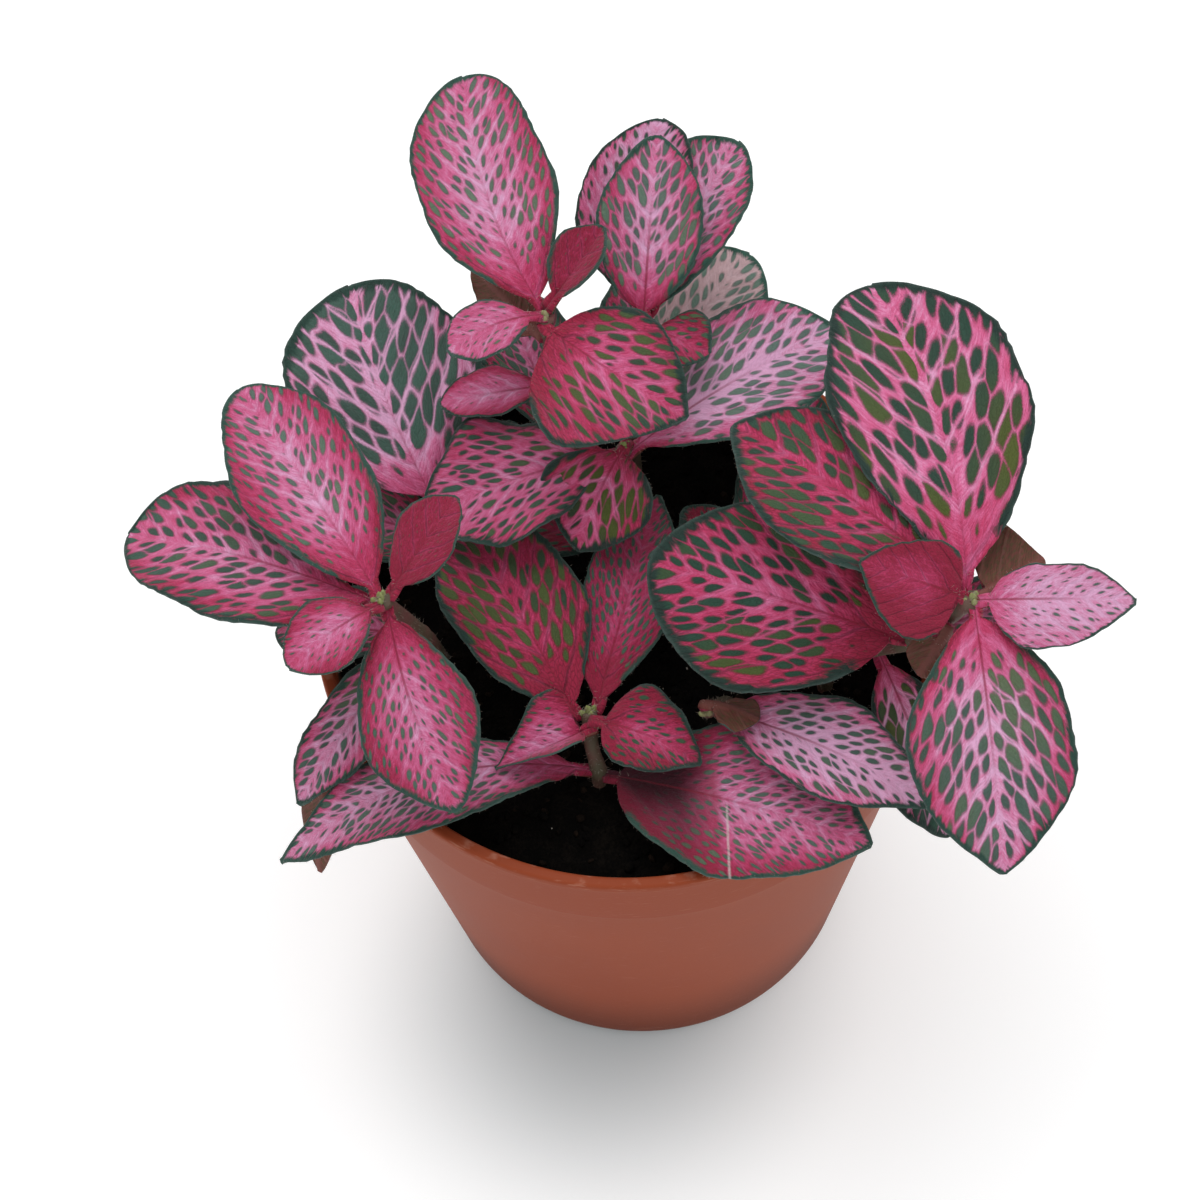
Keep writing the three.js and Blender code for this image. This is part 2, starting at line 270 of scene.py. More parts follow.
# %% [markdown]
# The outline comes first. A sine that swells and closes between base and tip makes an oval,
# and a power on its argument moves the widest place. Two more powers make the base rounder
# or the tip more pointed. The leaf's own axes carry that flat outline into space.


# %% A leaf's axes, outline and grid
def leaf_axes(one):
    """Where a leaf starts, its length, and the directions along, across and up."""
    base = np.array(one["base"], float)
    along = np.array(one["tip"], float) - base
    length = np.linalg.norm(along)
    along /= length
    up = np.array((0, 0, 1)) - along * along[2]
    up /= np.linalg.norm(up)
    roll = math.radians(one["roll"])
    up = up * math.cos(roll) + np.cross(along, up) * math.sin(roll)
    return base, length, along, np.cross(along, up), up


def half_width(one, length, u, v):
    """Half the blade's width at a share u of the leaf's length, on the side of v."""
    stalk = STALK_LENGTH / length
    blade = np.clip((u - stalk) / (1 - stalk), 0, 1)
    turn = math.pi * blade ** (math.log(0.5) / np.log(one["full"] + one["tilt"] * np.sign(v)))
    power = np.where(turn < math.pi / 2, BASE_POWER, one["point"])
    oval = np.maximum(0, np.sin(turn)) ** power * (1 + one["lean"] * np.sign(v))
    return np.maximum(STALK_WIDTH / 2 * (1 - 0.5 * u), one["width"] / 2 * oval)


def leaf_grid(one, length):
    """Shares along and across the leaf, closer together towards its ends and margins."""
    stalk = STALK_LENGTH / length
    rows = max(14, int(length / POINT_SPACING))
    columns = 2 * max(6, int(one["width"] / POINT_SPACING / 2)) + 1
    opening = (1 - np.cos(np.linspace(0, math.pi, rows))) / 2
    u = np.concatenate([np.linspace(0, stalk, 4)[:-1], stalk + (1 - stalk) * opening])
    t = np.linspace(-1, 1, columns)
    v = 0.75 * t + 0.25 * np.sin(math.pi / 2 * t)
    return u[:, None], v[None, :]


print("a leaf 40 mm long has", leaf_grid(leaf("sample", (0, 0, 0), (40, 0, 0), 26), 40)[0].size,
      "rows of points")

# %% [markdown]
# ### Relief
# A real blade is never a clean oval. Its margin is scalloped and drifts in and out, it
# frills at the very edge, the midrib lies in a furrow, and the skin swells between the
# veins. Each of these is one small wave over the grid, with a phase drawn for this leaf.

# %% Relief, in millimetres
QUILT = 0.22
FURROW = 0.55
FURROW_HALF = 1.1
FRILL = 0.16
BLISTER = 0.3
RIPPLES = 2.5
RIB_AT_TIP, RIB_GAIN = 0.12, 1.25


def ruffled_margin(one, x, v, phase):
    """How far the margin goes out or in, from its scallops and their slow drift."""
    drift = np.sin(x / 5.5 + phase[1] + 2 * v) + np.sin(x / 3.1 + phase[2] - v)
    scallops = np.abs(np.sin(math.pi * x / SCALLOP + phase[0] + v + 0.9 * drift)) - 0.6
    return one["ruffle"] * (0.2 * scallops + 0.25 * drift)


def relief(one, place, phase):
    """How far each point rises from the flat blade."""
    x, y, u, v = (place[key] for key in "xyuv")
    half, across = place["half"], np.abs(v)
    inner = soft(across, 0.02, 0.3) * soft(-across, -1, -0.7) * soft(half, 2, 6)
    quilt = -QUILT * np.cos(math.pi * place["slant"] / one["cell"]) * inner
    furrow = -FURROW * np.exp(-(y / FURROW_HALF) ** 2) * soft(-u, -0.95, -0.3)
    ripple = np.sin(2 * math.pi * (RIPPLES * u + 0.3 * v) + one["width"])
    wave = one["wave"] * across ** 3 * ripple * np.minimum(1, 2 * half / one["width"])
    frill = np.sin(x / 1.15 + phase[3] + 1.5 * v) * FRILL * across ** 8
    blister = BLISTER * np.sin(x / 3.3 + phase[4]) * np.sin(y / 2.9 + phase[5]) * inner
    return wave + quilt + furrow + frill + blister


def leaf_surface(one, rng):
    """The middle surface, the thickness there, and where each point lies on the blade."""
    base, length, along, across, up = leaf_axes(one)
    u, v = leaf_grid(one, length)
    half = half_width(one, length, u, v)
    x = length * u + 0 * v
    phase = rng.uniform(0, 6.28, 6)
    edge = ruffled_margin(one, x, v, phase)
    y = v * (half + edge * np.abs(v) ** 6 * soft(half, 1.2, 4) * soft(-u, -1, -0.93))
    slant = x - VEIN_SLANT * np.abs(y) - VEIN_ARCH * y * y / (one["width"] / 2)
    place = {"x": x, "y": y, "u": u + 0 * v, "v": v + 0 * u,
             "half": half, "slant": slant, "length": length}
    arch = 4 * u * (1 - u)
    fold = math.radians(one["fold"])
    lift = one["bow"] * arch + np.abs(y) * math.sin(fold) + relief(one, place, phase)
    shift = one["sweep"] * arch + y * math.cos(fold)
    points = base + along * x[..., None] + across * shift[..., None] + up * lift[..., None]
    bulge = np.sqrt(np.maximum(0, 1 - (y / RIB_HALF) ** 2))
    rib = (RIB_AT_TIP + RIB_GAIN * (1 - u) ** 1.4) * bulge
    return points, MARGIN_THICKNESS + rib, place


def margin_distance(place):
    """How far each point lies from the blade's outline, measured on the flat blade."""
    x, y = place["x"], place["y"]
    left, end = np.c_[x[:, 0], y[:, 0]], np.c_[x[-1], y[-1]]
    right = np.c_[x[::-1, -1], y[::-1, -1]]
    outline = np.concatenate([left, end, right])
    steps = np.linspace(0, 1, 4)[:-1, None, None]
    dense = (outline[:-1] * (1 - steps) + outline[1:] * steps).reshape(-1, 2)
    apart = np.hypot(x[..., None] - dense[:, 0], y[..., None] - dense[:, 1])
    return apart.min(axis=-1)


print("relief of", QUILT, "to", FURROW, "mm on each blade")

# %% [markdown]
# ## What a leaf wears
# The pink of the leaf is a net: a midrib, side veins that leave it at about 45 degrees and
# arch towards the tip, and finer veins between. What is left over inside the net is small
# dark green cells, stretched along the side veins, and round the blade runs a dark
# blue-green margin. No two leaves are alike: old ones have big cells and a pale net, young
# ones are nearly all crimson. So each point of a leaf carries a few numbers, in threes, and
# the material reads them as attributes: its place in the net, measured along the slanting
# veins; how large the cells are there, how pale the pink is and how olive the green; how far
# margin, midrib and base are; a cast of grey or sage over the whole leaf and the strength of
# its midrib line; and where it lies beside a crease, which one leaf has.


# %% The numbers that each point of a leaf carries
CELL_SHAPE = 0.62
CREASE_SLANT = 0.13


def triple(*numbers):
    """Three arrays or plain numbers as one array of triples."""
    return np.stack(np.broadcast_arrays(*numbers), axis=-1)


def leaf_looks(one, place, seed):
    """Cell size, blush and hue at each point."""
    x, y, u, v = (place[key] for key in "xyuv")
    clear = 0.45 + 0.7 * (1 - u)
    opening = soft(u, 0.08, 0.35) * soft(np.abs(y), 0.5 * clear, 1.7 * clear)
    size = one["spots"] * opening * (1 - 0.25 * soft(np.abs(v), 0.7, 1))
    streak = np.exp(-(y / (0.16 * one["width"])) ** 2)
    streak = streak * soft(u, 0.12, 0.45) * soft(-u, -1, -0.55)
    redder = one["red"] * soft(np.abs(v), 0.45, 0.95) + 0.35 * (1 - soft(u, 0.08, 0.4))
    blush = one["blush"] + 0.5 * one["streak"] * streak - redder
    patches = np.sin(x / 7 + seed[0]) * np.sin(y / 5 + seed[1])
    hue = one["hue"] + 0.25 * patches + 0.6 * (0.45 - u)
    return triple(size, blush, hue)


def rim_depth(one, place, seed):
    """Distance from the margin, where 1 is the dark margin's own uneven width."""
    x, v = place["x"], place["v"]
    stalk = 1 - soft(x, STALK_LENGTH, STALK_LENGTH + 0.12 * place["length"])
    uneven = 1 + 0.55 * np.sin(x / 3.7 + seed[0] + v) * np.sin(x / 8.3 + seed[1] + 2 * v)
    return margin_distance(place) / (one["rim"] * uneven) + 3 * stalk


def leaf_attributes(one, place, rng):
    """All the numbers that the points of one leaf carry."""
    y, u, v = (place[key] for key in "yuv")
    seed = rng.uniform(0, 40, 2)
    slant = place["slant"] / one["cell"] + seed[0]
    past_crease = u - one["crease"] - CREASE_SLANT * v if one["crease"] else 1 + 0 * u
    return {
        "net": triple(slant, y / (CELL_SHAPE * one["long"] * one["cell"]) + seed[1], 0 * u),
        "looks": leaf_looks(one, place, seed),
        "edges": triple(rim_depth(one, place, seed), np.abs(y), u),
        "cast": triple(one["pale"] + 0 * u, one["veil"], one["rib"]),
        "crease": triple(v, past_crease, 0 * u),
    }


print("numbers per point: net, looks, edges, cast and crease, three each")


# %% [markdown]
# ## The leaf's material
# The net is a Voronoi pattern in the slanting coordinates, warped a little so that no two
# cells match. A cell is green where it is near its own centre, away from its edge and off
# the nearest side vein. The smallest of those three distances gives the mask, and because
# the minimum is a smooth one, the cells come out rounded and only slightly angular, as the
# real ones are. The same pattern, finer, gives the veinlets. A soft sheen stands for the
# down that makes the leaf look like velvet.

# %% Colours of the leaf, linear
CRIMSON = (0.33, 0.013, 0.05)
CERISE = (0.52, 0.040, 0.13)
ROSE = (0.66, 0.135, 0.30)
LILAC = (0.78, 0.41, 0.64)
PINKS = [(0.0, CRIMSON), (0.3, CERISE), (0.62, ROSE), (1.0, LILAC)]
TEAL = (0.008, 0.065, 0.039)
OLIVE = (0.060, 0.090, 0.012)
SAGE = (0.085, 0.29, 0.21)
MAUVE = (0.80, 0.62, 0.62)
MARGIN = (0.017, 0.046, 0.036)
# EDGE: the down's paler colour at the very margin, and partly a painted highlight where the down
# catches light.
EDGE = (0.09, 0.14, 0.125)
VEIN_RED = (0.25, 0.012, 0.035)
# Painted shade: the near-black crimson laid on the blade before one leaf's crease.
CREASE_PAINTED_SHADE = (0.045, 0.004, 0.012)
NICK = (0.75, 0.62, 0.62)
print("pinks run from", CRIMSON, "to", LILAC)


# %% Reading and warping
def cells(wire, vector, scale, randomness):
    """A flat Voronoi pattern: distance to centre, distance to edge, and a random number."""
    flat = {"voronoi_dimensions": "2D"}
    sockets = {"Vector": vector, "Scale": scale, "Randomness": randomness}
    centre = wire.node("TexVoronoi", flat, sockets, "Distance")
    chance = Wire(wire.tree, centre.socket.node.outputs["Color"])
    edge = wire.node("TexVoronoi", {**flat, "feature": "DISTANCE_TO_EDGE"}, sockets, "Distance")
    return centre, edge, wire.node("SeparateColor", {}, {0: chance})


def read(wire, name):
    """An attribute as a vector, and the three numbers in it."""
    vector = wire.node("Attribute", {"attribute_name": name}, {}, "Vector")
    return vector, parts(wire, vector)


def warped(wire, vector, scale, amount):
    """A vector pushed about by soft noise."""
    sockets = {"Vector": vector, "Scale": scale, "Detail": 1.0}
    push = wire.node("TexNoise", {}, sockets, "Color")
    push = wire.node("VectorMath", {"operation": "SUBTRACT"}, {0: push, 1: (0.5, 0.5, 0.5)})
    push = wire.node("VectorMath", {"operation": "SCALE"}, {0: push, "Scale": amount})
    return wire.node("VectorMath", {"operation": "ADD"}, {0: vector, 1: push})


def smooth_min(first, second, softness):
    """The smaller of two wires, with the corner between them rounded off."""
    return first.maths("SMOOTH_MIN", first, second, softness)


print("a pattern gives centre, edge and chance")


# %% The patterns of the upper face
CELL_CHAOS = 0.66
ROW_SHIFT = 0.13


def leaf_patterns(wire, net):
    """Every pattern that the upper face is made from, by name."""
    bent = warped(wire, net, 0.8, 0.6)
    centre, edge, chance = cells(wire, bent, 1.0, CELL_CHAOS)
    row = wire.maths("PINGPONG", parts(wire, bent)[0] + ROW_SHIFT, 1.0)
    _, small_edge, small_chance = cells(wire, warped(wire, net, 2.2, 0.3), 3.6, 1.0)
    return SimpleNamespace(
        centre=centre, edge=edge, chance=chance, small_chance=small_chance, row=row,
        side_vein=1 - step(row, 0.0, 0.4), mesh_vein=1 - step(edge, 0.0, 0.22),
        veinlet=1 - step(small_edge, 0.02, 0.16), wander=cloud(wire, net, 0.55, 1.0),
        fuzz=cloud(wire, bent, 26.0, 2.0),
        grain=cloud(wire, stretched(wire, bent, (13, 2.0, 1)), 1.0, 5.0))


def cell_mask(has, size):
    """1 inside the green cells, with a soft and slightly ragged edge."""
    reach = size * (0.7 + has.chance * 0.65) - 0.08
    gap = 0.06 + (has.wander - 0.45) * 0.25
    inside = smooth_min(reach - has.centre, has.edge - gap, 0.36)
    inside = smooth_min(inside, has.row - 0.13, 0.14)
    ragged = inside + (has.fuzz - 0.5) * 0.26 + (has.grain - 0.5) * 0.1
    return step(ragged, -0.115, 0.045)


print("a net with chaos", CELL_CHAOS)

# %% [markdown]
# The pink is read off a ramp from crimson to lilac. What picks the tone is the leaf's own
# blush, a little paler on the veins, and then several sizes of noise, since a real leaf has
# no even patch. Young, red leaves also show their veins as dark fine lines. The green is a
# mix of a bluish and an olive one, drawn anew for each cell.


# %% The pink of the net and the green of the cells
def net_pink(wire, has, blush, pale):
    """The net's colour, from crimson to lilac."""
    tone = blush - 0.12 + has.side_vein * 0.14 + has.mesh_vein * 0.08 + has.veinlet * 0.03
    tone = tone + (has.grain - 0.5) * 0.5 + (has.small_chance - 0.5) * 0.08
    tone = tone + (has.wander - 0.5) * 0.3 + (has.fuzz - 0.5) * 0.35
    pink = blend(wire.node("ValToRGB", {"stops": PINKS}, {0: tone}), MAUVE, pale)
    pink = shade(pink, 0.6 + has.grain * 0.4 + has.fuzz * 0.38)
    redness = 1 - step(blush, 0.1, 0.55)
    fine_line = 1 - step(has.row + (has.fuzz - 0.5) * 0.2, 0.02, 0.16)
    lines = wire.maths("MAXIMUM", fine_line, has.veinlet * 0.6)
    return shade(pink, 1 - lines * redness * 0.55)


def cell_green(has, hue, veil):
    """The cells' colour: teal to olive, greyed towards sage on old leaves."""
    green = blend(TEAL, OLIVE, step(hue + (has.chance - 0.5) * 0.7, 0.15, 1.0))
    green = blend(green, SAGE, veil)
    return shade(green, (0.3 + has.fuzz * 1.2) * (0.75 + has.chance * 0.45))


print("pink has", len(PINKS), "stops")

# %% [markdown]
# Over net and cells come the marks that lie where they lie on the real leaf: the dark red
# line of the midrib, the blue-green margin with its ragged inner edge and downy rim, whose
# lighter edge is partly a painted highlight, and on one low leaf a crease with a pale
# bruised line along it. Before that crease lies painted shade, on one side of it.


# %% Marks over the net
def crease_shade(colour, green, side, past_crease):
    """Crimson before the crease, and painted shade there, most of all near the midrib."""
    before = (1 - step(past_crease, -0.05, 0.0)) * (1 - green) * 0.7
    # Painted shadow: darkens the blade before the crease, most on the midrib side.
    shadow = (1 - step(past_crease, -0.2, -0.02)) * (0.95 - step(side, 0.05, 0.9) * 0.55)
    return blend(blend(colour, CRIMSON, before), CREASE_PAINTED_SHADE, shadow)


def crease_nick(colour, has, side, past_crease):
    """The pale bruised line along the crease."""
    line = (1 - step(past_crease, 0.0, 0.008)) * step(past_crease, -0.008, 0.0)
    patchy = 0.4 + step(has.fuzz, 0.35, 0.6) * 0.45
    return blend(colour, NICK, line * step(side, 0.04, 0.12) * patchy)


def margin_band(has, rim, green):
    """1 on the dark margin, which reaches further in where a green cell meets it."""
    ragged = rim + (has.grain - 0.5) * 0.5 + (has.small_chance - 0.5) * 0.4 - green * 0.3
    return 1 - step(ragged, 0.4, 1.15)


print("marks: midrib, margin, rim, crease")


# %% The velvet of the upper face
def leaf_velvet():
    """The upper face of a leaf: pink net, green cells, dark margin with a partly painted
    highlighted edge, red midrib, painted shade by one crease.
    """
    fixed = {"Specular IOR Level": 0.25, "Sheen Weight": 0.1, "Sheen Roughness": 0.45}
    material, wire, shader = new_material("leaf_velvet", fixed)
    net, _ = read(wire, "net")
    _, (size, blush, hue) = read(wire, "looks")
    _, (rim, midrib, along) = read(wire, "edges")
    _, (pale, veil, rib) = read(wire, "cast")
    _, (side, past_crease, _) = read(wire, "crease")
    has = leaf_patterns(wire, net)
    green = cell_mask(has, size)
    pink = net_pink(wire, has, blush, pale)
    colour = blend(pink, cell_green(has, hue, veil), green * (0.98 - veil * has.grain * 0.35))
    colour = crease_shade(colour, green, side, past_crease)
    line = (1 - step(midrib, 0.1, 0.4)) * (1 - step(along, 0.25, 0.8)) * rib
    colour = blend(colour, VEIN_RED, line)
    band = margin_band(has, rim, green)
    border = shade(blend(MARGIN, SAGE, veil * 0.6), 0.1 + has.fuzz * 1.3)
    colour = blend(colour, border, band)
    # The lighter speckled rim at the very edge: partly the down's colour, partly a painted
    # highlight.
    colour = blend(colour, EDGE, (1 - step(rim + has.fuzz * 0.6, 0.3, 0.6)) * 0.4)
    colour = crease_nick(colour, has, side, past_crease)
    height = green * 0.5 - has.side_vein * 0.5 - has.mesh_vein * 0.4 - has.veinlet * 0.2
    height = height + has.fuzz * 0.35 + has.grain * 0.4
    roughness = 0.5 + has.grain * 0.16 + band * 0.08
    finish_surface(shader, colour, roughness, bumped(height, 0.8, 0.45))
    return material


VELVET = leaf_velvet()
print("leaf material with", len(VELVET.node_tree.nodes), "nodes")

# %% [markdown]
# ## Undersides and stems
# Seen from below a nerve plant is another colour: a dull brownish rose with olive between
# the veins, which stand out as ribs. The stems are brownish green, flushed with rose, and
# covered in short pale hairs, so those are modelled as fine spikes. Only the buds at the
# tips are a fresh yellow-green.

# %% Colours beneath and between the leaves
UNDER_ROSE = (0.15, 0.038, 0.030)
UNDER_OLIVE = (0.075, 0.058, 0.022)
UNDER_VEIN = (0.21, 0.08, 0.065)
STEM_GREEN, STEM_ROSE = (0.085, 0.075, 0.045), (0.15, 0.055, 0.05)
BUD_GREEN, BUD_YELLOW = (0.23, 0.29, 0.09), (0.32, 0.31, 0.16)
HAIR_WHITE, HAIR_TAN = (0.50, 0.45, 0.38), (0.36, 0.28, 0.22)
print("underside rose", UNDER_ROSE)


# %% Materials of the underside, the stem, the bud and the hairs
def leaf_underside():
    """The lower face of a leaf: brownish rose with raised paler veins."""
    material, wire, shader = new_material("leaf_underside", {"Specular IOR Level": 0.3})
    net, (slant, _, _) = read(wire, "net")
    _, (size, _, _) = read(wire, "looks")
    _, (_, midrib, _) = read(wire, "edges")
    grain = cloud(wire, net, 3.0, 3.0)
    fibre = cloud(wire, stretched(wire, net, (9, 0.8, 1)), 1.0, 4.0)
    row = wire.maths("PINGPONG", slant, 1.0)
    side_vein = 1 - step(row + (grain - 0.5) * 0.35, 0.0, 0.28)
    vein = wire.maths("MAXIMUM", side_vein, 1 - step(midrib, 0.2, 0.9))
    base = blend(UNDER_ROSE, UNDER_OLIVE, step(grain + size * 0.4, 0.5, 1.0))
    colour = blend(shade(base, 0.2 + fibre * 1.5), UNDER_VEIN, vein * 0.4)
    finish_surface(shader, colour, 0.55 + grain * 0.2, bumped(vein + grain * 0.4, 0.6, 0.3))
    return material


def stem_skin(name, first, second):
    """Soft skin of one colour, flushed with a second one in patches."""
    material, wire, shader = new_material(name, {"Specular IOR Level": 0.35})
    place = wire.node("TexCoord", {}, {}, "Object")
    patches = cloud(wire, place, 140.0, 3.0)
    fine = cloud(wire, place, 1500.0, 2.0)
    colour = blend(first, second, step(patches, 0.35, 0.7))
    finish_surface(shader, colour, 0.5 + fine * 0.2, bumped(fine + patches, 0.5, 0.2))
    return material


SKINS = [
    VELVET, leaf_underside(), stem_skin("stem_skin", STEM_GREEN, STEM_ROSE),
    stem_skin("bud_skin", BUD_GREEN, BUD_YELLOW), stem_skin("stem_hair", HAIR_WHITE, HAIR_TAN),
]
UPPER_SKIN, UNDER_SKIN, STEM_SKIN, BUD_SKIN, HAIR_SKIN = range(5)
print("skins", [skin.name for skin in SKINS])

# %% [markdown]
# ## Gathering a piece
# Thousands of small faces are quickest to make as plain lists. A basket collects points,
# faces, the material of each face and the numbers of each point, and turns them into one
# smooth mesh at the end.


# %% A basket of faces
ATTRIBUTES = ("net", "looks", "edges", "cast", "crease")


class Basket:
    """Points in millimetres and faces, gathered into one object."""

    def __init__(self):
        self.points, self.faces, self.skins = [], [], []
        self.numbers = {name: [] for name in ATTRIBUTES}
        self.count = 0

    def add(self, points, faces, skins, numbers=None):
        """Adds a closed form. Skins is one number, or one for each face."""
        points = np.asarray(points, float).reshape(-1, 3)
        self.faces += [[corner + self.count for corner in face] for face in faces]
        self.skins += skins if isinstance(skins, list) else [skins] * len(faces)
        self.points.append(points)
        for name in ATTRIBUTES:
            given = (numbers or {}).get(name)
            blank = np.zeros((len(points), 3))
            self.numbers[name].append(blank if given is None else given.reshape(-1, 3))
        self.count += len(points)

    def piece(self, name, materials, numbered=True):
        """The object, in metres."""
        mesh = bpy.data.meshes.new(name)
        mesh.from_pydata((np.concatenate(self.points) * MM).tolist(), [], self.faces)
        for material in materials:
            mesh.materials.append(material)
        mesh.polygons.foreach_set("material_index", self.skins)
        mesh.polygons.foreach_set("use_smooth", [True] * len(self.faces))
        for key in ATTRIBUTES if numbered else ():
            layer = mesh.attributes.new(key, "FLOAT_VECTOR", "POINT")
            layer.data.foreach_set("vector", np.concatenate(self.numbers[key]).ravel())
        thing = bpy.data.objects.new(name, mesh)
        scene.collection.objects.link(thing)
        return thing


print("each point carries", 3 * len(ATTRIBUTES), "numbers")


# %% Faces of a grid, and its border
def grid_faces(rows, columns, start=0, flip=False):
    """The four-sided faces of a grid of points, in rows."""
    faces = []
    for i in range(rows - 1):
        for j in range(columns - 1):
            a = start + i * columns + j
            face = [a, a + 1, a + columns + 1, a + columns]
            faces.append(face[::-1] if flip else face)
    return faces


def rim_of(rows, columns):
    """The grid's border points, in order round it."""
    first = list(range(columns))
    right = [i * columns + columns - 1 for i in range(1, rows)]
    last = [(rows - 1) * columns + j for j in range(columns - 2, -1, -1)]
    left = [i * columns for i in range(rows - 2, 0, -1)]
    return first + right + last + left


print("a grid of 3 by 3 points has a border of", len(rim_of(3, 3)))

# %% [markdown]
# ## Tubes and hairs
# Stems and bud scales are rings of points carried along a smooth curve. A hair is a thin
# three-sided spike, set square to the curve it grows from and then leaned a little, as
# down on a stem is.


# %% Curves, tubes and hairs
HAIR_WIDTH = 0.04


def smooth_path(places, count):
    """Points along a smooth curve through the given places."""
    places = np.array(places, float)
    before, after = 2 * places[:1] - places[1:2], 2 * places[-1:] - places[-2:-1]
    padded = np.concatenate([before, places, after])
    curve = []
    for t in np.linspace(0, len(places) - 1.0001, count):
        k = int(t)
        a, b, c, d = padded[k:k + 4]
        f = t - k
        curve.append(0.5 * (2 * b + (c - a) * f + (2 * a - 5 * b + 4 * c - d) * f ** 2
                            + (3 * b - a - 3 * c + d) * f ** 3))
    return np.array(curve)


def ring_frames(curve):
    """Two directions square to the curve at each of its points."""
    heading = np.gradient(curve, axis=0)
    heading /= np.linalg.norm(heading, axis=1, keepdims=True)
    first = np.cross(heading, (0.31, 1.0, 0.17))
    first /= np.linalg.norm(first, axis=1, keepdims=True)
    return first, np.cross(heading, first)


def circle(sides):
    """The angles of a ring's corners."""
    return np.linspace(0, 2 * math.pi, sides + 1)[:-1]


def ring_faces(rings, sides):
    """The faces between rings of points."""
    faces = []
    for i in range(rings - 1):
        for j in range(sides):
            a, b = i * sides + j, i * sides + (j + 1) % sides
            faces.append([a, b, b + sides, a + sides])
    return faces


def add_tube(basket, curve, radii, skin, sides=12):
    """A closed tube of varying radius along a curve."""
    first, second = ring_frames(curve)
    turns = circle(sides)[:, None]
    around = first[:, None] * np.cos(turns) + second[:, None] * np.sin(turns)
    points = curve[:, None] + around * np.asarray(radii)[:, None, None]
    last = (len(curve) - 1) * sides
    ends = [list(range(sides))[::-1], [last + j for j in range(sides)]]
    basket.add(points, ring_faces(len(curve), sides) + ends, skin)


def add_hairs(basket, curve, radii, count, rng, reach=1.0):
    """Short pale spikes that stand out from a stem or a margin."""
    first, second = ring_frames(curve)
    width = HAIR_WIDTH * reach ** 0.5
    for k in rng.integers(1, len(curve) - 1, count):
        turn = rng.uniform(0, 2 * math.pi)
        out = first[k] * math.cos(turn) + second[k] * math.sin(turn)
        side = np.cross(out, (0.3, 0.2, 1.0))
        side /= np.linalg.norm(side)
        third = np.cross(out, side)
        along = rng.uniform(-0.5, 0.5) * (curve[k] - curve[k - 1])
        foot = curve[k] + out * radii[k] * 0.9 + along
        lean = rng.uniform(-0.4, 0.4, 3)
        tip = foot + (out + lean) * rng.uniform(0.5, 1.1) * reach
        corners = [foot + side * width, foot - side * width * 0.5 + third * width * 0.87,
                   foot - side * width * 0.5 - third * width * 0.87, tip]
        basket.add(corners, [[0, 2, 1], [0, 1, 3], [1, 2, 3], [2, 0, 3]], HAIR_SKIN)


print("hairs", 2 * HAIR_WIDTH, "mm wide")

# %% [markdown]
# ## One leaf, one stem
# The blade's two faces share a border, so the leaf closes by joining those borders. A stem
# is a tube along a smooth curve through the same places as the solid's stem, with a
# swelling at each pair of leaves, and it ends in a bud of tiny folded scales.

# %% Counts of hairs, and the blade's and stem's measures in millimetres
STALK_HAIRS, STEM_HAIRS, SCALE_HAIRS = 24, 150, 14
MARGIN_REACH = 0.4
UPPER_SHARE = 0.3
STEM_RADIUS = 1.5
STEM_DEPTH = 12
STEM_POINTS = 46
SWELLING, SWELLING_REACH = 0.16, 2.0
SOIL_TOP = 98.5
BUD_SCALES = 5
SCALE_RADIUS = 0.62
print("a stem is", 2 * STEM_RADIUS, "mm thick")


# %% Leaf, stem and bud
def surface_normals(points):
    """The upward direction at each point of a grid."""
    along = np.gradient(points, axis=0)
    across = np.gradient(points, axis=1)
    normal = np.cross(across, along)
    return normal / np.maximum(np.linalg.norm(normal, axis=-1, keepdims=True), 1e-9)


def add_leaf(basket, one, rng):
    """A closed blade, velvet above and dull beneath."""
    points, thickness, place = leaf_surface(one, rng)
    rows, columns = thickness.shape
    normal = surface_normals(points)
    upper = points + normal * (thickness * UPPER_SHARE)[..., None]
    lower = points - normal * (thickness * (1 - UPPER_SHARE))[..., None]
    count = rows * columns
    faces = grid_faces(rows, columns) + grid_faces(rows, columns, count, flip=True)
    skins = [UPPER_SKIN] * (len(faces) // 2) + [UNDER_SKIN] * (len(faces) // 2)
    border = rim_of(rows, columns)
    faces += [[b, a, a + count, b + count] for a, b in zip(border, border[1:] + border[:1])]
    skins += [UPPER_SKIN] * len(border)
    numbers = leaf_attributes(one, place, rng)
    doubled = {key: np.concatenate([value, value]) for key, value in numbers.items()}
    basket.add(np.concatenate([upper, lower]), faces, skins, doubled)
    stalk_rows = max(5, int(np.searchsorted(place["x"][:, 0], 2 * STALK_LENGTH)))
    stalk = points[:stalk_rows, columns // 2]
    add_hairs(basket, stalk, [STALK_WIDTH / 2] * len(stalk), STALK_HAIRS, rng)
    for column in (0, -1):
        margin = points[4:-1, column]
        radii = [MARGIN_THICKNESS / 2] * len(margin)
        add_hairs(basket, margin, radii, 2 * len(margin), rng, MARGIN_REACH)


def add_stem(basket, path, nodes, rng):
    """A hairy stem from inside the soil to its bud, thicker where leaves join it."""
    foot = path[0]
    places = [(*foot, SOIL_TOP - STEM_DEPTH + 0.6), (*foot, SOIL_TOP + 1), *path[1:]]
    curve = smooth_path(places, STEM_POINTS)
    radii = STEM_RADIUS * (1.04 - 0.2 * np.linspace(0, 1, len(curve)))
    for place in nodes:
        apart = np.linalg.norm(curve - np.array(place, float), axis=1)
        radii = radii + SWELLING * np.exp(-(apart / SWELLING_REACH) ** 2)
    radii = np.minimum(radii, STEM_RADIUS * 1.25)
    add_tube(basket, curve, radii, STEM_SKIN)
    add_hairs(basket, curve, radii, STEM_HAIRS, rng)


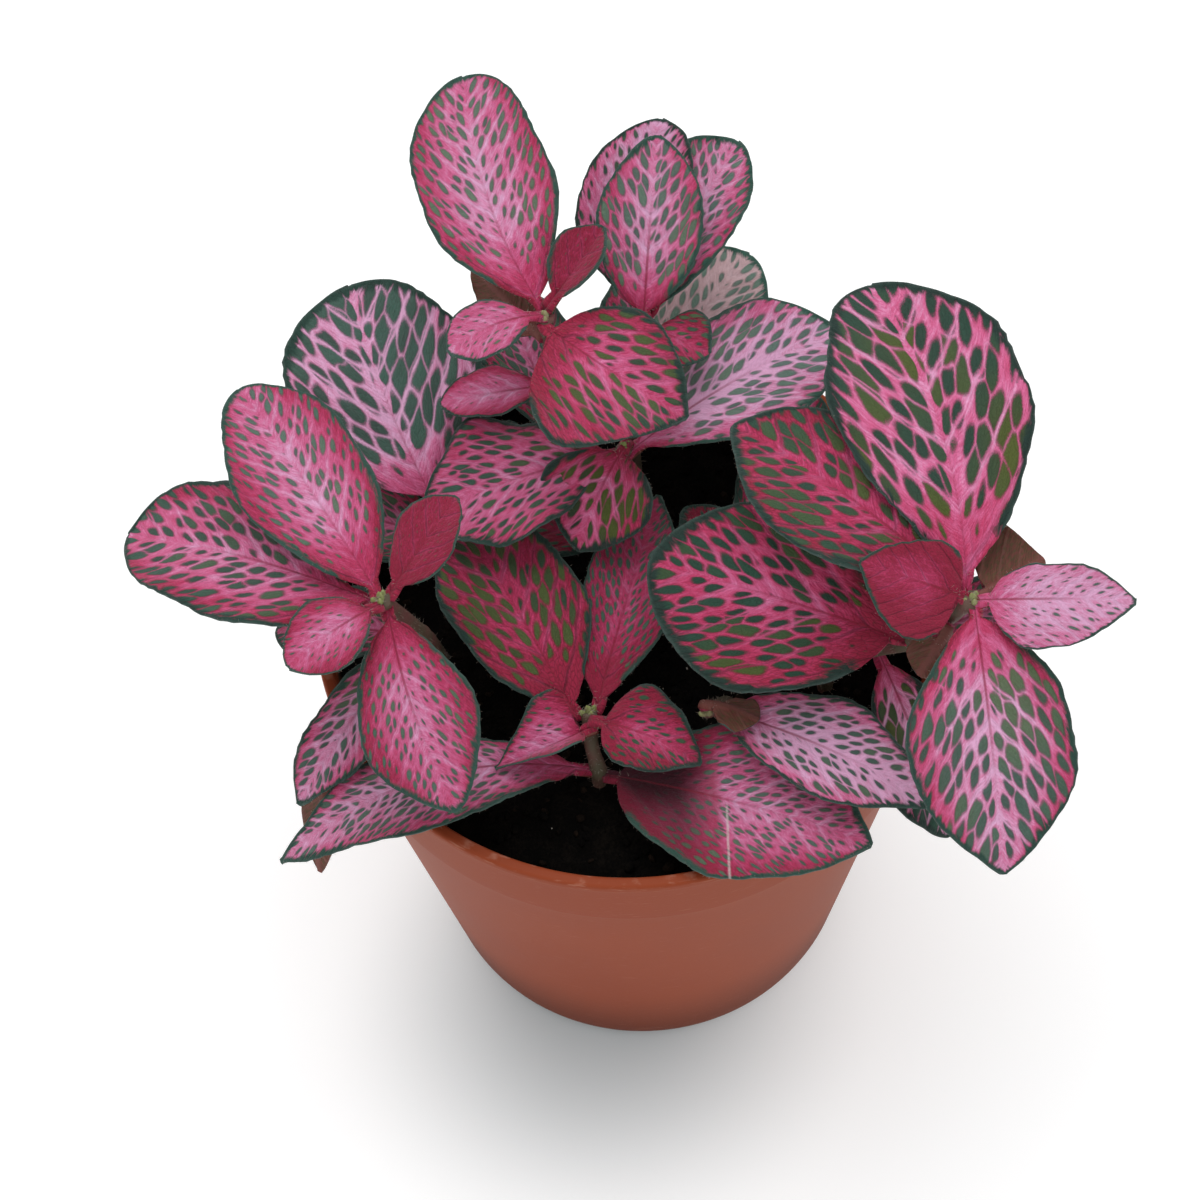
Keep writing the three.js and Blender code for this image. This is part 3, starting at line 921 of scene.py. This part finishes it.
def add_bud(basket, top, rng):
    """The growing point: a few tiny folded scales, pointed and hairy."""
    foot = np.array(top, float) - (0, 0, 1.0)
    for k in range(BUD_SCALES):
        turn = 2.4 * k + rng.uniform(-0.4, 0.4)
        lean = np.array((math.cos(turn), math.sin(turn), 0)) * (0.36 * k + 0.1)
        tip = foot + lean + (0, 0, 3.2 - 0.3 * k)
        curve = smooth_path([foot, (foot + tip) / 2 + lean * 0.35, tip], 10)
        radii = SCALE_RADIUS * np.sin(np.linspace(0.7, math.pi - 0.1, 10)) ** 0.8
        add_tube(basket, curve, radii, BUD_SKIN, sides=9)
        add_hairs(basket, curve, radii, SCALE_HAIRS, rng)


print("leaf, stem and bud makers ready")

# %% [markdown]
# ## The nine leafy stems
# Each row below is one leaf, read from the photograph and set on its stem. First comes its
# place in millimetres, the same as in the solids: base, tip, width, and how it rolls, bows,
# sweeps and folds. The rest is how it looks: the cells' size, how long they are and how far
# they open (cell, long, spots), blush from crimson to lilac, the pale streak along the
# midrib and the midrib's own line (streak, rib), reddening towards the margin, hue of the
# green and how far sage veils it, a greyed pink (pale), the width of the dark rim, how
# ruffled the margin is, and where one leaf is creased. Leaves whose name starts with X fill
# the far side, which the photograph doesn't show.

# %% The leaf table
SHOOTS = {
    "shoot_top": ([(-10, 30), (-10, 31, 112), (-11, 33, 136), (-12, 35, 155)], [
        leaf("A1", (-12, 36, 155), (-24, 80, 170), 26, bow=2, sweep=-3.5, point=0.42, cell=2.8,
             long=1.3, rib=0.4, spots=0.37, blush=0.7, streak=0.4, hue=0.7, rim=0.9, veil=0.45),
        leaf("A2", (-12, 35, 156), (-30, 26, 159), 12.5, bow=1, sweep=1.5, wave=0.3, cell=2.4,
             spots=0.2, blush=0.68, streak=0, red=0.1, rim=0.5, hue=0.5, veil=0.45),
        leaf("A3", (-13, 34, 155), (13, 18, 144), 33, bow=3, sweep=2, full=0.4, point=0.85,
             tilt=-0.08, lean=0.2, cell=4.1, spots=0.44, blush=0.42, streak=0.2, red=0.25,
             hue=0.7, rim=1.2, veil=0.07),
        leaf("A4", (-12, 36, 156), (0, 46, 167), 11, fold=25, wave=0.3, cell=2.1, spots=0.1,
             blush=0.15, streak=0, red=0.1, rim=0.7, veil=0.35),
        leaf("A5", (-12, 34, 149), (-25, 55, 144), 13, roll=140, wave=0.4),
        leaf("E0", (-11, 33, 135), (-33, 31, 134), 11, bow=1, wave=0.4, blush=0.6, spots=0.1,
             rim=0.35),
        leaf("XA", (-10, 31, 113), (-21, 68, 117), 19, bow=3),
    ]),
    "shoot_back": ([(3, 33), (3, 35, 114), (4, 38, 130), (6, 39, 145)], [
        leaf("B1", (6, 38, 145), (11, 65, 168), 20, bow=1, full=0.5, cell=3.3, spots=0.5,
             blush=0.7, red=0.3, hue=0.5, rim=0.9, veil=0.48),
        leaf("B2", (6, 39, 144), (12, 73, 162), 22, bow=2, sweep=-3, point=0.5, cell=2.8,
             spots=0.3, blush=0.95, streak=0.1, rim=0.9, hue=0.4, veil=0.1),
        leaf("B3", (6, 39, 144), (26, 69, 159), 21, bow=2, wave=1.2, full=0.6, point=0.5,
             lean=-0.15, cell=2.8, spots=0.42, blush=0.75, rim=1, veil=0.5),
        leaf("B4", (3, 37, 121), (28, 62, 131), 23, bow=1, full=0.62, point=0.5, cell=3.2,
             spots=0.4, blush=0.7, rim=0.9, hue=0.5, pale=0.8, veil=0.85),
        leaf("B5", (6, 39, 144), (18, 32, 143), 14, bow=1, wave=0.4, point=0.8, cell=2.6,
             spots=0.4, blush=0.2, hue=0.8, rim=0.8),
        leaf("XB1", (3, 36, 113), (10, 74, 116), 18, bow=4),
        leaf("XB2", (4, 37, 124), (34, 52, 119), 18, bow=2),
    ]),
    "shoot_middle": ([(-2, 10), (-3, 11, 110), (-2, 17, 121), (1, 21, 130)], [
        leaf("K", (1, 20, 129), (43, 40, 136), 28, bow=2, sweep=-1, full=0.6, cell=3.6,
             spots=0.44, blush=0.95, streak=0.4, red=0.3, hue=0.4, rim=1, veil=0.48),
        leaf("E", (1, 21, 129), (-37, 12, 125), 27, bow=3, wave=2, full=0.58, point=0.5,
             ruffle=1.5, cell=3.3, spots=0.37, blush=0.6, streak=0.2, red=0.2, hue=0.3, rim=1.2,
             veil=0.12),
        leaf("F", (2, 22, 131), (-9, 4, 122), 22.5, bow=4, full=0.46, point=0.75, cell=3.8,
             spots=0.5, blush=0.5, streak=0.2, hue=0.9, rim=1, veil=0),
        leaf("V1", (-3, 11, 109), (-18, 18, 110), 14, bow=2, blush=0, spots=0.3),
    ]),
    "shoot_mature": ([(-30, 14), (-30, 15, 106), (-33, 17, 113), (-36, 19, 118)], [
        leaf("D", (-35, 18, 118), (-49, 58, 136), 38, bow=3, sweep=-2, wave=1, point=0.45,
             ruffle=2, cell=4.9, long=1.2, rib=0.3, spots=0.6, blush=0.95, streak=0.1, red=0.1,
             hue=-0.3, rim=1.4, veil=0.16),
        leaf("XD1", (-31, 15, 108), (-68, 25, 113), 20, bow=3),
        leaf("XD2", (-31, 16, 108), (-20, 40, 112), 16, bow=2),
    ]),
    "shoot_left": ([(-36, -8), (-37, -9, 112), (-41, -13, 130), (-45, -16, 144)], [
        leaf("C1", (-45, -16, 144), (-69, 26, 152), 24.5, bow=2, wave=0.8, point=0.5, cell=2.9,
             long=1.2, rib=0.3, spots=0.33, blush=0.62, streak=0.5, red=0.35, hue=0.3, rim=1,
             veil=0.45),
        leaf("C2", (-45, -16, 142), (-92, 7, 134), 29, bow=4, full=0.58, point=0.5, tilt=0.12,
             cell=3.6, long=1.3, spots=0.46, blush=0.6, streak=0.3, hue=0.25, rim=1, veil=0.15),
        leaf("C3", (-44, -16, 144), (-30, -1, 153), 13, bow=1, wave=0.3, point=0.7, ruffle=1.4,
             cell=2, spots=0.08, blush=0.12, streak=0, red=0.05, hue=0.8, rim=0.45, veil=0.42),
        leaf("C4", (-45, -17, 144), (-62, -30, 146), 15.5, bow=2, wave=0.3, cell=2.4, spots=0.18,
             blush=0.5, streak=0.6, red=0.3, rim=0.45, veil=0.4),
        leaf("C5", (-44, -16, 142), (-34, -50, 124), 22, bow=3, sweep=2, point=0.7, cell=2.6,
             spots=0.3, blush=0.55, rim=1, veil=0.4),
        leaf("R", (-39, -11, 122), (-64, -38, 108), 13.5, bow=3, point=0.7, cell=2.7, spots=0.42,
             blush=0.8, streak=0.3, rim=0.9),
        leaf("XC", (-38, -10, 117), (-67, -3, 112), 17, bow=3),
        leaf("S", (-39, -11, 121), (-62, -42, 88), 10, roll=180, bow=-8, sweep=-3),
    ]),
    "shoot_front": ([(-8, -33), (-8, -33, 104), (-9, -30, 109), (-9, -26, 114)], [
        leaf("G", (-11, -27, 113), (-31, 15, 120), 26, bow=2, full=0.52, cell=4.2, spots=0.48,
             blush=0.22, streak=0.2, red=0.1, hue=0.9, rim=1.1, veil=0.07),
        leaf("H", (-8, -26, 113), (7, 18, 117), 18, bow=2, full=0.5, point=0.8, cell=2.3,
             spots=0.38, blush=0.3, streak=0.3, red=0.1, hue=0.2, rim=0.8, veil=0.35),
        leaf("P", (-8, -29, 114), (-27, -36, 113), 23, roll=14, fold=42, wave=0.4, full=0.22,
             point=1.1, lean=-0.1, cell=2.6, spots=0.2, blush=0.55, rim=0.6),
        leaf("O", (-9, -28, 115), (11, -38, 113), 17, bow=3, wave=1, full=0.36, point=0.75,
             lean=-0.1, cell=2.6, spots=0.29, blush=0.2, hue=0.3, rim=0.9, veil=0.1),
        leaf("Q", (-9, -33, 104), (-68, -47, 103), 18, bow=10, sweep=3, wave=1, point=0.8,
             lean=-0.15, cell=2.6, spots=0.42, blush=0.8, streak=0.3, rim=1, veil=0.35),
        leaf("M", (-7, -34, 104), (41, -56, 111), 33, bow=3, full=0.5, point=0.8, cell=2.7,
             spots=0.34, blush=0.62, streak=0.4, red=0.4, rim=1.1, veil=0.42, crease=0.47),
    ]),
    "shoot_right": ([(36, -16), (38, -17, 112), (51, -25, 131), (61, -27, 148)], [
        leaf("J1", (60, -25, 147), (48, 35, 158), 36, bow=3, sweep=4, wave=0.8, full=0.56,
             point=0.45, ruffle=2, cell=5.8, long=1.05, rib=0.2, spots=0.6, blush=0.7, streak=0,
             red=0.1, hue=0.5, rim=1.4, veil=0),
        leaf("J2", (60, -25, 147), (21, 12, 150), 29, bow=4, full=0.52, point=0.7, cell=4.3,
             spots=0.5, blush=0.22, streak=0.4, red=0.15, hue=0.6, rim=1.4, veil=0.07),
        leaf("J3", (61, -27, 148), (41, -21, 154), 19, roll=-25, bow=1, wave=0.4, full=0.33,
             point=0.8, lean=-0.1, ruffle=2, cell=2.1, spots=0.02, blush=0.14, streak=0.35,
             rim=0.6, rib=0.8),
        leaf("J4", (61, -27, 148), (89, -33, 154), 17, roll=10, bow=1, wave=0.9, full=0.45,
             point=0.8, lean=0.15, ruffle=1.5, cell=2.6, spots=0.2, blush=0.95, streak=0.1,
             red=0.15, rim=0.4, veil=0.35),
        leaf("J5", (61, -27, 148), (63, -70, 124), 30.5, bow=4, wave=0.8, point=0.8, cell=4.2,
             spots=0.52, blush=0.8, streak=0.3, red=0.4, hue=0.45, rim=1.1, veil=0.25),
        leaf("J6", (61, -27, 147), (75, -16, 142), 20, roll=195, wave=0.4, full=0.64, point=0.7,
             lean=0.5),
        leaf("J7", (57, -28, 142), (51, -34, 134), 9, roll=160, wave=0.4),
        leaf("I", (50, -25, 131), (4, -6, 134), 36, roll=-20, bow=3, wave=0.7, lean=-0.06,
             cell=4.2, spots=0.5, blush=0.35, streak=0.4, red=0.2, hue=0.3, rim=1.8, veil=0),
        leaf("N", (45, -21, 121), (56, -51, 102), 18, bow=3, cell=3.6, spots=0.7, blush=0.9,
             streak=0, hue=0.3, veil=0),
        leaf("XJ1", (49, -24, 128), (80, -13, 122), 16, bow=3),
        leaf("XJ2", (42, -19, 117), (61, 8, 120), 15, bow=2),
    ]),
    "shoot_low": ([(17, -22), (17, -22, 106), (15, -25, 111), (13, -28, 115)], [
        leaf("L", (14, -27, 114), (53, -51, 115), 20, bow=4, full=0.5, point=0.8, cell=3.1,
             spots=0.38, blush=1, streak=0.3, red=0.3, rim=0.8, veil=0.21),
        leaf("T", (12, -28, 116), (22, -33, 119), 10, roll=160, bow=-1, wave=0.4),
    ]),
    "shoot_inner": ([(24, -4), (24, -4, 102), (24, -3, 105), (24, -2, 108)], [
        leaf("V2", (24, -3, 107), (12, 18, 112), 14, bow=2, blush=0, spots=0.3),
        leaf("V3", (24, -2, 108), (27, 20, 112), 12, bow=2, blush=0, spots=0.3),
        leaf("XV1", (24, -3, 107), (60, 18, 115), 22, bow=2),
        leaf("XV2", (24, -2, 107), (37, 42, 115), 18, bow=2),
    ]),
}
print("leaves", sum(len(leaves) for _, leaves in SHOOTS.values()))

# %% Make the leafy stems
FIRST_SEED = 100

for number, (name, (path, leaves)) in enumerate(SHOOTS.items()):
    rng = np.random.default_rng(FIRST_SEED + number)
    basket = Basket()
    add_stem(basket, path, [one["base"] for one in leaves], rng)
    add_bud(basket, path[-1], rng)
    for one in leaves:
        add_leaf(basket, one, rng)
    plant = basket.piece(name.replace("shoot", "leafy_stem"), SKINS)
    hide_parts(name)
    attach(plant, "root")
    print(plant.name, "of", len(plant.data.polygons), "faces, with leaves",
          *[one["name"] for one in leaves])

# %% [markdown]
# ## The pot
# The pot is moulded plastic: a cone with a rounded foot, a shallow step where the deeper
# band begins, and a small rounded lip. A lathe gives it all. The profile goes round the
# section once, outside then inside, and each corner is a short curve, because a moulded
# edge is never sharp. The drain holes are cut afterwards.

# %% Pot measures, in millimetres
POT_HEIGHT = 108
RIM_RADIUS, INNER_RIM = 60, 57.6
BAND_FOOT, BAND_RADIUS = 90, 57.9
WALL_RADIUS = 57.2
BASE_RADIUS = 41.5
WALL = 1.6
FLOOR = 2.4
POT_SIDES = 168
DRAIN_COUNT, DRAIN_RING, DRAIN_RADIUS = 6, 28, 3
DRILL_PAST = 2

# Each corner of the section: radius, height, rounding. Outside first, then inside.
POT_CORNERS = [
    (0, 0.6, 0), (36.2, 0.6, 0.4), (37.2, 0, 0.3), (BASE_RADIUS - 0.1, 0, 3.4),
    (WALL_RADIUS - 0.1, BAND_FOOT - 0.9, 0.5), (BAND_RADIUS, BAND_FOOT + 0.3, 0.5),
    (59.0, 105.4, 0.3), (RIM_RADIUS, 105.9, 0.35), (RIM_RADIUS, POT_HEIGHT, 0.9),
    (INNER_RIM, POT_HEIGHT, 0.8), (WALL_RADIUS - WALL, BAND_FOOT, 1.0),
    (BASE_RADIUS - WALL + 0.7, FLOOR, 1.2), (0, FLOOR, 0),
]
print("pot", 2 * RIM_RADIUS, "mm across,", POT_HEIGHT, "mm high")


# %% Profiles and the lathe
def rounded(corners, steps=6):
    """A profile with each (radius, height, rounding) corner turned into a short curve."""
    profile = []
    for k, (r, z, rounding) in enumerate(corners):
        here = np.array((r, z), float)
        if rounding == 0:
            profile.append(here)
            continue
        before = np.array(corners[k - 1][:2], float) - here
        after = np.array(corners[k + 1][:2], float) - here
        start = here + before / np.linalg.norm(before) * rounding
        end = here + after / np.linalg.norm(after) * rounding
        for t in np.linspace(0, 1, steps):
            profile.append(start * (1 - t) ** 2 + here * 2 * t * (1 - t) + end * t * t)
    return profile


def dense(profile, spacing=3.0):
    """The profile with long straight runs divided."""
    points = [profile[0]]
    for a, b in zip(profile, profile[1:]):
        count = max(1, int(np.linalg.norm(b - a) / spacing))
        points += [a + (b - a) * k / count for k in range(1, count + 1)]
    return np.array(points)


def lathe(basket, profile, sides):
    """Turns a profile that starts and ends on the axis into a closed form."""
    foot, top, inner = profile[0], profile[-1], profile[1:-1]
    turns = circle(sides)
    rings = np.stack([inner[:, :1] * np.cos(turns), inner[:, :1] * np.sin(turns),
                      np.repeat(inner[:, 1:], sides, axis=1)], axis=-1)
    points = np.concatenate([rings.reshape(-1, 3), [(0, 0, foot[1]), (0, 0, top[1])]])
    first, last = len(inner) * sides, len(inner) * sides + 1
    upper = (len(inner) - 1) * sides
    faces = ring_faces(len(inner), sides)
    faces += [[first, (j + 1) % sides, j] for j in range(sides)]
    faces += [[last, upper + j, upper + (j + 1) % sides] for j in range(sides)]
    basket.add(points, faces, 0)


print("the pot's profile has", len(dense(rounded(POT_CORNERS))), "points")


# %% Drain holes
def cut(thing, tools):
    """Cuts other objects out of one, and removes them."""
    for tool in tools:
        modifier = thing.modifiers.new("cut", "BOOLEAN")
        modifier.operation, modifier.object, modifier.solver = "DIFFERENCE", tool, "EXACT"
    graph = bpy.context.evaluated_depsgraph_get()
    mesh = bpy.data.meshes.new_from_object(thing.evaluated_get(graph))
    thing.modifiers.clear()
    thing.data = mesh
    for tool in tools:
        bpy.data.objects.remove(tool)


def drain_hole(turn):
    """A plain cylinder that cuts one hole through the floor."""
    basket = Basket()
    x, y = DRAIN_RING * math.cos(turn), DRAIN_RING * math.sin(turn)
    curve = np.array([(x, y, -DRILL_PAST), (x, y, FLOOR + DRILL_PAST)], float)
    add_tube(basket, curve, [DRAIN_RADIUS] * 2, 0, sides=32)
    return basket.piece("drain_hole", [], numbered=False)


print(DRAIN_COUNT, "drain holes of", 2 * DRAIN_RADIUS, "mm")

# %% [markdown]
# ### Terracotta-coloured plastic
# It is a satin orange-brown, lighter where light grazes the rim, with a faint mould grain
# and the dust and dried splashes of a nursery pot. The wear sits where it does on a real
# one: scuffs round the foot and the lip, and soil stains inside. Towards the foot the colour
# is darkened as painted shade.

# %% Pot material
POT_BROWN = (0.278, 0.055, 0.020)
POT_LIGHT = (0.316, 0.069, 0.029)
POT_DARK = (0.235, 0.042, 0.015)
SCUFFED = (0.50, 0.25, 0.18)
SOIL_STAIN = (0.05, 0.026, 0.016)
INNER_FOOT, INNER_FLARE = 40.6, 0.174


def pot_plastic():
    """Satin moulded plastic with grain, scuffs, soil stains and painted shade towards the foot.
    """
    material, wire, shader = new_material("pot_plastic", {"Specular IOR Level": 0.1})
    place = wire.node("TexCoord", {}, {}, "Object")
    x, y, z = (axis * (1 / MM) for axis in parts(wire, place))
    clouds = cloud(wire, place, 28.0, 4.0)
    grain = cloud(wire, place, 2600.0, 2.0)
    specks = cloud(wire, place, 420.0, 3.0)
    scratches = cloud(wire, stretched(wire, place, (1, 1, 9)), 300.0, 4.0)
    base = blend(POT_DARK, POT_LIGHT, step(clouds, 0.2, 0.85))
    base = blend(base, POT_BROWN, 0.55 + clouds * 0.1)
    # Painted shade: the wall grows darker towards the foot, standing in for the shade from the
    # floor there.
    base = shade(base, 0.62 + step(z, 1.0, 34.0) * 0.33)
    foot, lip = 1 - step(z, 1.0, 9.0), step(z, 104.5, 106.5)
    scuff = step(scratches + (foot + lip) * 0.08, 0.62, 0.78)
    base = blend(base, SCUFFED, scuff * 0.35)
    radius = wire.maths("SQRT", x * x + y * y)
    inside = step(INNER_FOOT + z * INNER_FLARE - radius, 0.0, 0.5)
    inside = inside * (1 - step(z, 99.0, 104.0)) * step(z, 1.8, 3.0)
    stain = step(specks + inside * 0.4, 0.62, 0.85)
    roughness = 0.44 + clouds * 0.08 + scuff * 0.15 + grain * 0.06
    relief_height = grain * 0.6 + clouds + scuff * 0.4
    finish_surface(shader, blend(base, SOIL_STAIN, stain * inside), roughness,
                   bumped(relief_height, 0.25, 0.15))
    return material


PLASTIC = pot_plastic()
print("pot material with", len(PLASTIC.node_tree.nodes), "nodes")

# %% Make the pot
basket = Basket()
lathe(basket, dense(rounded(POT_CORNERS)), POT_SIDES)
pot = basket.piece("pot_shell", [PLASTIC], numbered=False)
cut(pot, [drain_hole(2 * math.pi * k / DRAIN_COUNT) for k in range(DRAIN_COUNT)])
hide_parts("pot")
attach(pot, "root")
print("pot faces", len(pot.data.polygons))

# %% [markdown]
# ## The soil
# Moist peat is nearly black and crumbly. Its top is a round grid pushed up and down by
# noise of three sizes, which closes into the plug that fills the pot. Loose crumbs, bark
# and a few pale grains lie on it as small separate lumps.

# %% The soil's measures and its plug
SOIL_EDGE = 56.05
SOIL_FOOT = 39.8
SOIL_GAP = 0.3
SHOULDER_GAP = 0.35
PLUG_RINGS, PLUG_SIDES = 62, 150


def soil_height(x, y):
    """The soil's top at a place: hollows, lumps and crumbs."""
    place = Vector((x, y, 3.7))
    rough = noise.noise(place * 0.07) * 1.0 + noise.noise(place * 0.23) * 0.8
    rough += abs(noise.noise(place * 0.7)) * 0.9 + noise.noise(place * 1.9) * 0.25
    edge = soft(math.hypot(x, y), SOIL_EDGE - 5, SOIL_EDGE)
    return SOIL_TOP + float(rough * (1 - 0.7 * edge)) - 0.9 * float(edge)


def add_soil_plug(basket):
    """A closed plug of soil with a crumbly top."""
    foot = FLOOR + SOIL_GAP
    profile = [(0, foot), (SOIL_FOOT * 0.5, foot), (SOIL_FOOT, foot),
               (WALL_RADIUS - WALL - SHOULDER_GAP, BAND_FOOT)]
    profile += [(SOIL_EDGE * (1 - k / PLUG_RINGS), SOIL_TOP) for k in range(PLUG_RINGS)]
    lathe(basket, np.array(profile + [(0, SOIL_TOP)], float), PLUG_SIDES)
    for point in basket.points[0]:
        if point[2] == SOIL_TOP:
            point[2] = soil_height(point[0], point[1])


print("soil in the middle at", round(soil_height(0, 0), 2), "mm")


# %% One crumb
CRUMB_SIDES = 6
CRUMB_RINGS = ((0.55, 0.85), (-0.2, 1.0), (-0.8, 0.55))


def crumb_form():
    """A faceted lump of size 1: a top point, rings of height and radius, a bottom point."""
    points = [(0, 0, 1)]
    for height, radius in CRUMB_RINGS:
        for k in range(CRUMB_SIDES):
            angle = k * 2 * math.pi / CRUMB_SIDES + height
            points.append((radius * math.cos(angle), radius * math.sin(angle), height))
    faces, n = [], CRUMB_SIDES
    for k in range(n):
        a, b = 1 + k, 1 + (k + 1) % n
        faces += [[0, a, b], [a, a + n, b + n, b], [a + n, a + 2 * n, b + 2 * n, b + n],
                  [a + 2 * n, 3 * n + 1, b + 2 * n]]
    return np.array(points + [(0, 0, -1)]), faces


def add_crumb(basket, x, y, size, rng, skin):
    """A small lump that rests in the soil's surface."""
    turn = rng.uniform(0, math.pi)
    stretch = np.array((1, rng.uniform(0.5, 0.9), rng.uniform(0.45, 0.8))) * size
    points, faces = crumb_form()
    points = points * stretch * (1 + rng.uniform(-0.2, 0.2, (len(points), 1)))
    c, s = math.cos(turn), math.sin(turn)
    points = points @ np.array(((c, s, 0), (-s, c, 0), (0, 0, 1)))
    basket.add(points + (x, y, soil_height(x, y) + 0.15 * size), faces, skin)


print("a crumb has", len(crumb_form()[1]), "faces")


# %% Soil materials
def peat(name, dark, light, roughness):
    """Matt, moist, crumbly matter of two colours."""
    material, wire, shader = new_material(name, {"Specular IOR Level": 0.08})
    place = wire.node("TexCoord", {}, {}, "Object")
    lumps, fine = cloud(wire, place, 260.0, 6.0), cloud(wire, place, 1800.0, 4.0)
    colour = blend(dark, light, step(lumps * fine * 2, 0.3, 0.9))
    finish_surface(shader, colour, roughness + lumps * 0.15,
                   bumped(lumps + fine * 0.5, 0.9, 0.6))
    return material


SOILS = [
    peat("peat", (0.001, 0.0008, 0.0006), (0.006, 0.0045, 0.0034), 0.85),
    peat("bark_bits", (0.006, 0.0038, 0.0026), (0.022, 0.013, 0.008), 0.8),
    peat("pale_grains", (0.25, 0.23, 0.20), (0.42, 0.40, 0.36), 0.7),
]
PEAT_SKIN, BARK_SKIN, GRAIN_SKIN = range(3)
print("soil materials", [material.name for material in SOILS])

# %% Make the soil
CRUMBS = 900
PEAT_SHARE, BARK_SHARE = 0.8, 0.985

rng = np.random.default_rng(7)
basket = Basket()
add_soil_plug(basket)
for k in range(CRUMBS):
    turn, r = rng.uniform(0, 2 * math.pi), (SOIL_EDGE - 2) * math.sqrt(rng.uniform(0, 1))
    kind = rng.uniform(0, 1)
    size = rng.uniform(0.3, 1.3) if kind < BARK_SHARE else rng.uniform(0.2, 0.45)
    skin = PEAT_SKIN if kind < PEAT_SHARE else BARK_SKIN if kind < BARK_SHARE else GRAIN_SKIN
    add_crumb(basket, r * math.cos(turn), r * math.sin(turn), size, rng, skin)
soil = basket.piece("soil_fill", SOILS, numbered=False)
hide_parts("soil")
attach(soil, "root")
print("soil faces", len(soil.data.polygons))

# %% [markdown]
# ## Floor and light
# The photograph was cut out on white, with one broad soft shadow that falls towards the
# viewer. So the floor is pale and glows a little, which is painted light, except close round
# the pot, where it stays dim and cooler as a painted shadow. A bright sky fills everything,
# and one very large lamp hangs above and a little behind the plant.


# %% Floor
FLOOR_SIDE = 6
SHADE_CENTRE = (-0.012, -0.035, 0)
# The cooler, darker floor colour close round the pot is a painted shadow.
FLOOR_PAINTED_SHADE, FLOOR_FAR = (0.725, 0.80, 0.82), (0.78, 0.80, 0.805)


def floor_with_painted_shadow():
    """Matt white with painted light: it glows a little, except close round the pot, where it
    stays dim and cooler as a painted shadow.
    """
    fixed = {"Roughness": 0.9, "Specular IOR Level": 0.1, "Emission Strength": 0.36}
    material, wire, shader = new_material("floor_with_painted_shadow", fixed)
    place = wire.node("TexCoord", {}, {}, "Object")
    offset = wire.node("VectorMath", {"operation": "SUBTRACT"}, {0: place, 1: SHADE_CENTRE})
    apart = wire.node("VectorMath", {"operation": "LENGTH"}, {0: offset}, "Value")
    # Painted light and shadow: the floor glows away from the pot, and is left dim and cooler
    # close round it.
    glow_outside_painted_shadow = step(apart, 0.006, 0.06)
    wire.plug(shader.inputs["Base Color"], blend(FLOOR_PAINTED_SHADE, FLOOR_FAR, glow_outside_painted_shadow))
    wire.plug(shader.inputs["Emission Color"], shade((1, 1, 1), glow_outside_painted_shadow))
    return material


def make_floor():
    """A pale floor with painted light and a painted shadow round the pot, which is no part of
    the object.
    """
    mesh = bpy.data.meshes.new("floor")
    a = FLOOR_SIDE
    mesh.from_pydata([(-a, -a, 0), (a, -a, 0), (a, a, 0), (-a, a, 0)], [], [(0, 1, 2, 3)])
    mesh.materials.append(floor_with_painted_shadow())
    floor = bpy.data.objects.new("floor", mesh)
    scene.collection.objects.link(floor)


make_floor()
print("floor", 2 * FLOOR_SIDE, "m across")


# %% Sky and lamps
SKY_STRENGTH = 0.72


def lamp(name, place, target, size, power):
    """A square soft lamp that faces a target, in metres and watts."""
    data = bpy.data.lights.new(name, "AREA")
    data.size, data.energy = size, power
    made = bpy.data.objects.new(name, data)
    made.location = place
    heading = Vector(target) - Vector(place)
    made.rotation_euler = heading.to_track_quat("-Z", "Y").to_euler()
    scene.collection.objects.link(made)


scene.world = bpy.data.worlds.new("sky")
scene.world.use_nodes = True
background = scene.world.node_tree.nodes["Background"]
background.inputs["Color"].default_value = (1, 1, 1, 1)
background.inputs["Strength"].default_value = SKY_STRENGTH
lamp("soft_box", (-0.1, 0.3, 1.35), (0, 0, 0.1), 1.0, 7.5)
lamp("front_fill", (0.1, -0.95, 0.9), (0, 0, 0.05), 0.8, 0.8)
scene.view_settings.view_transform = "Standard"
print("lamps", [light.name for light in bpy.data.lights])
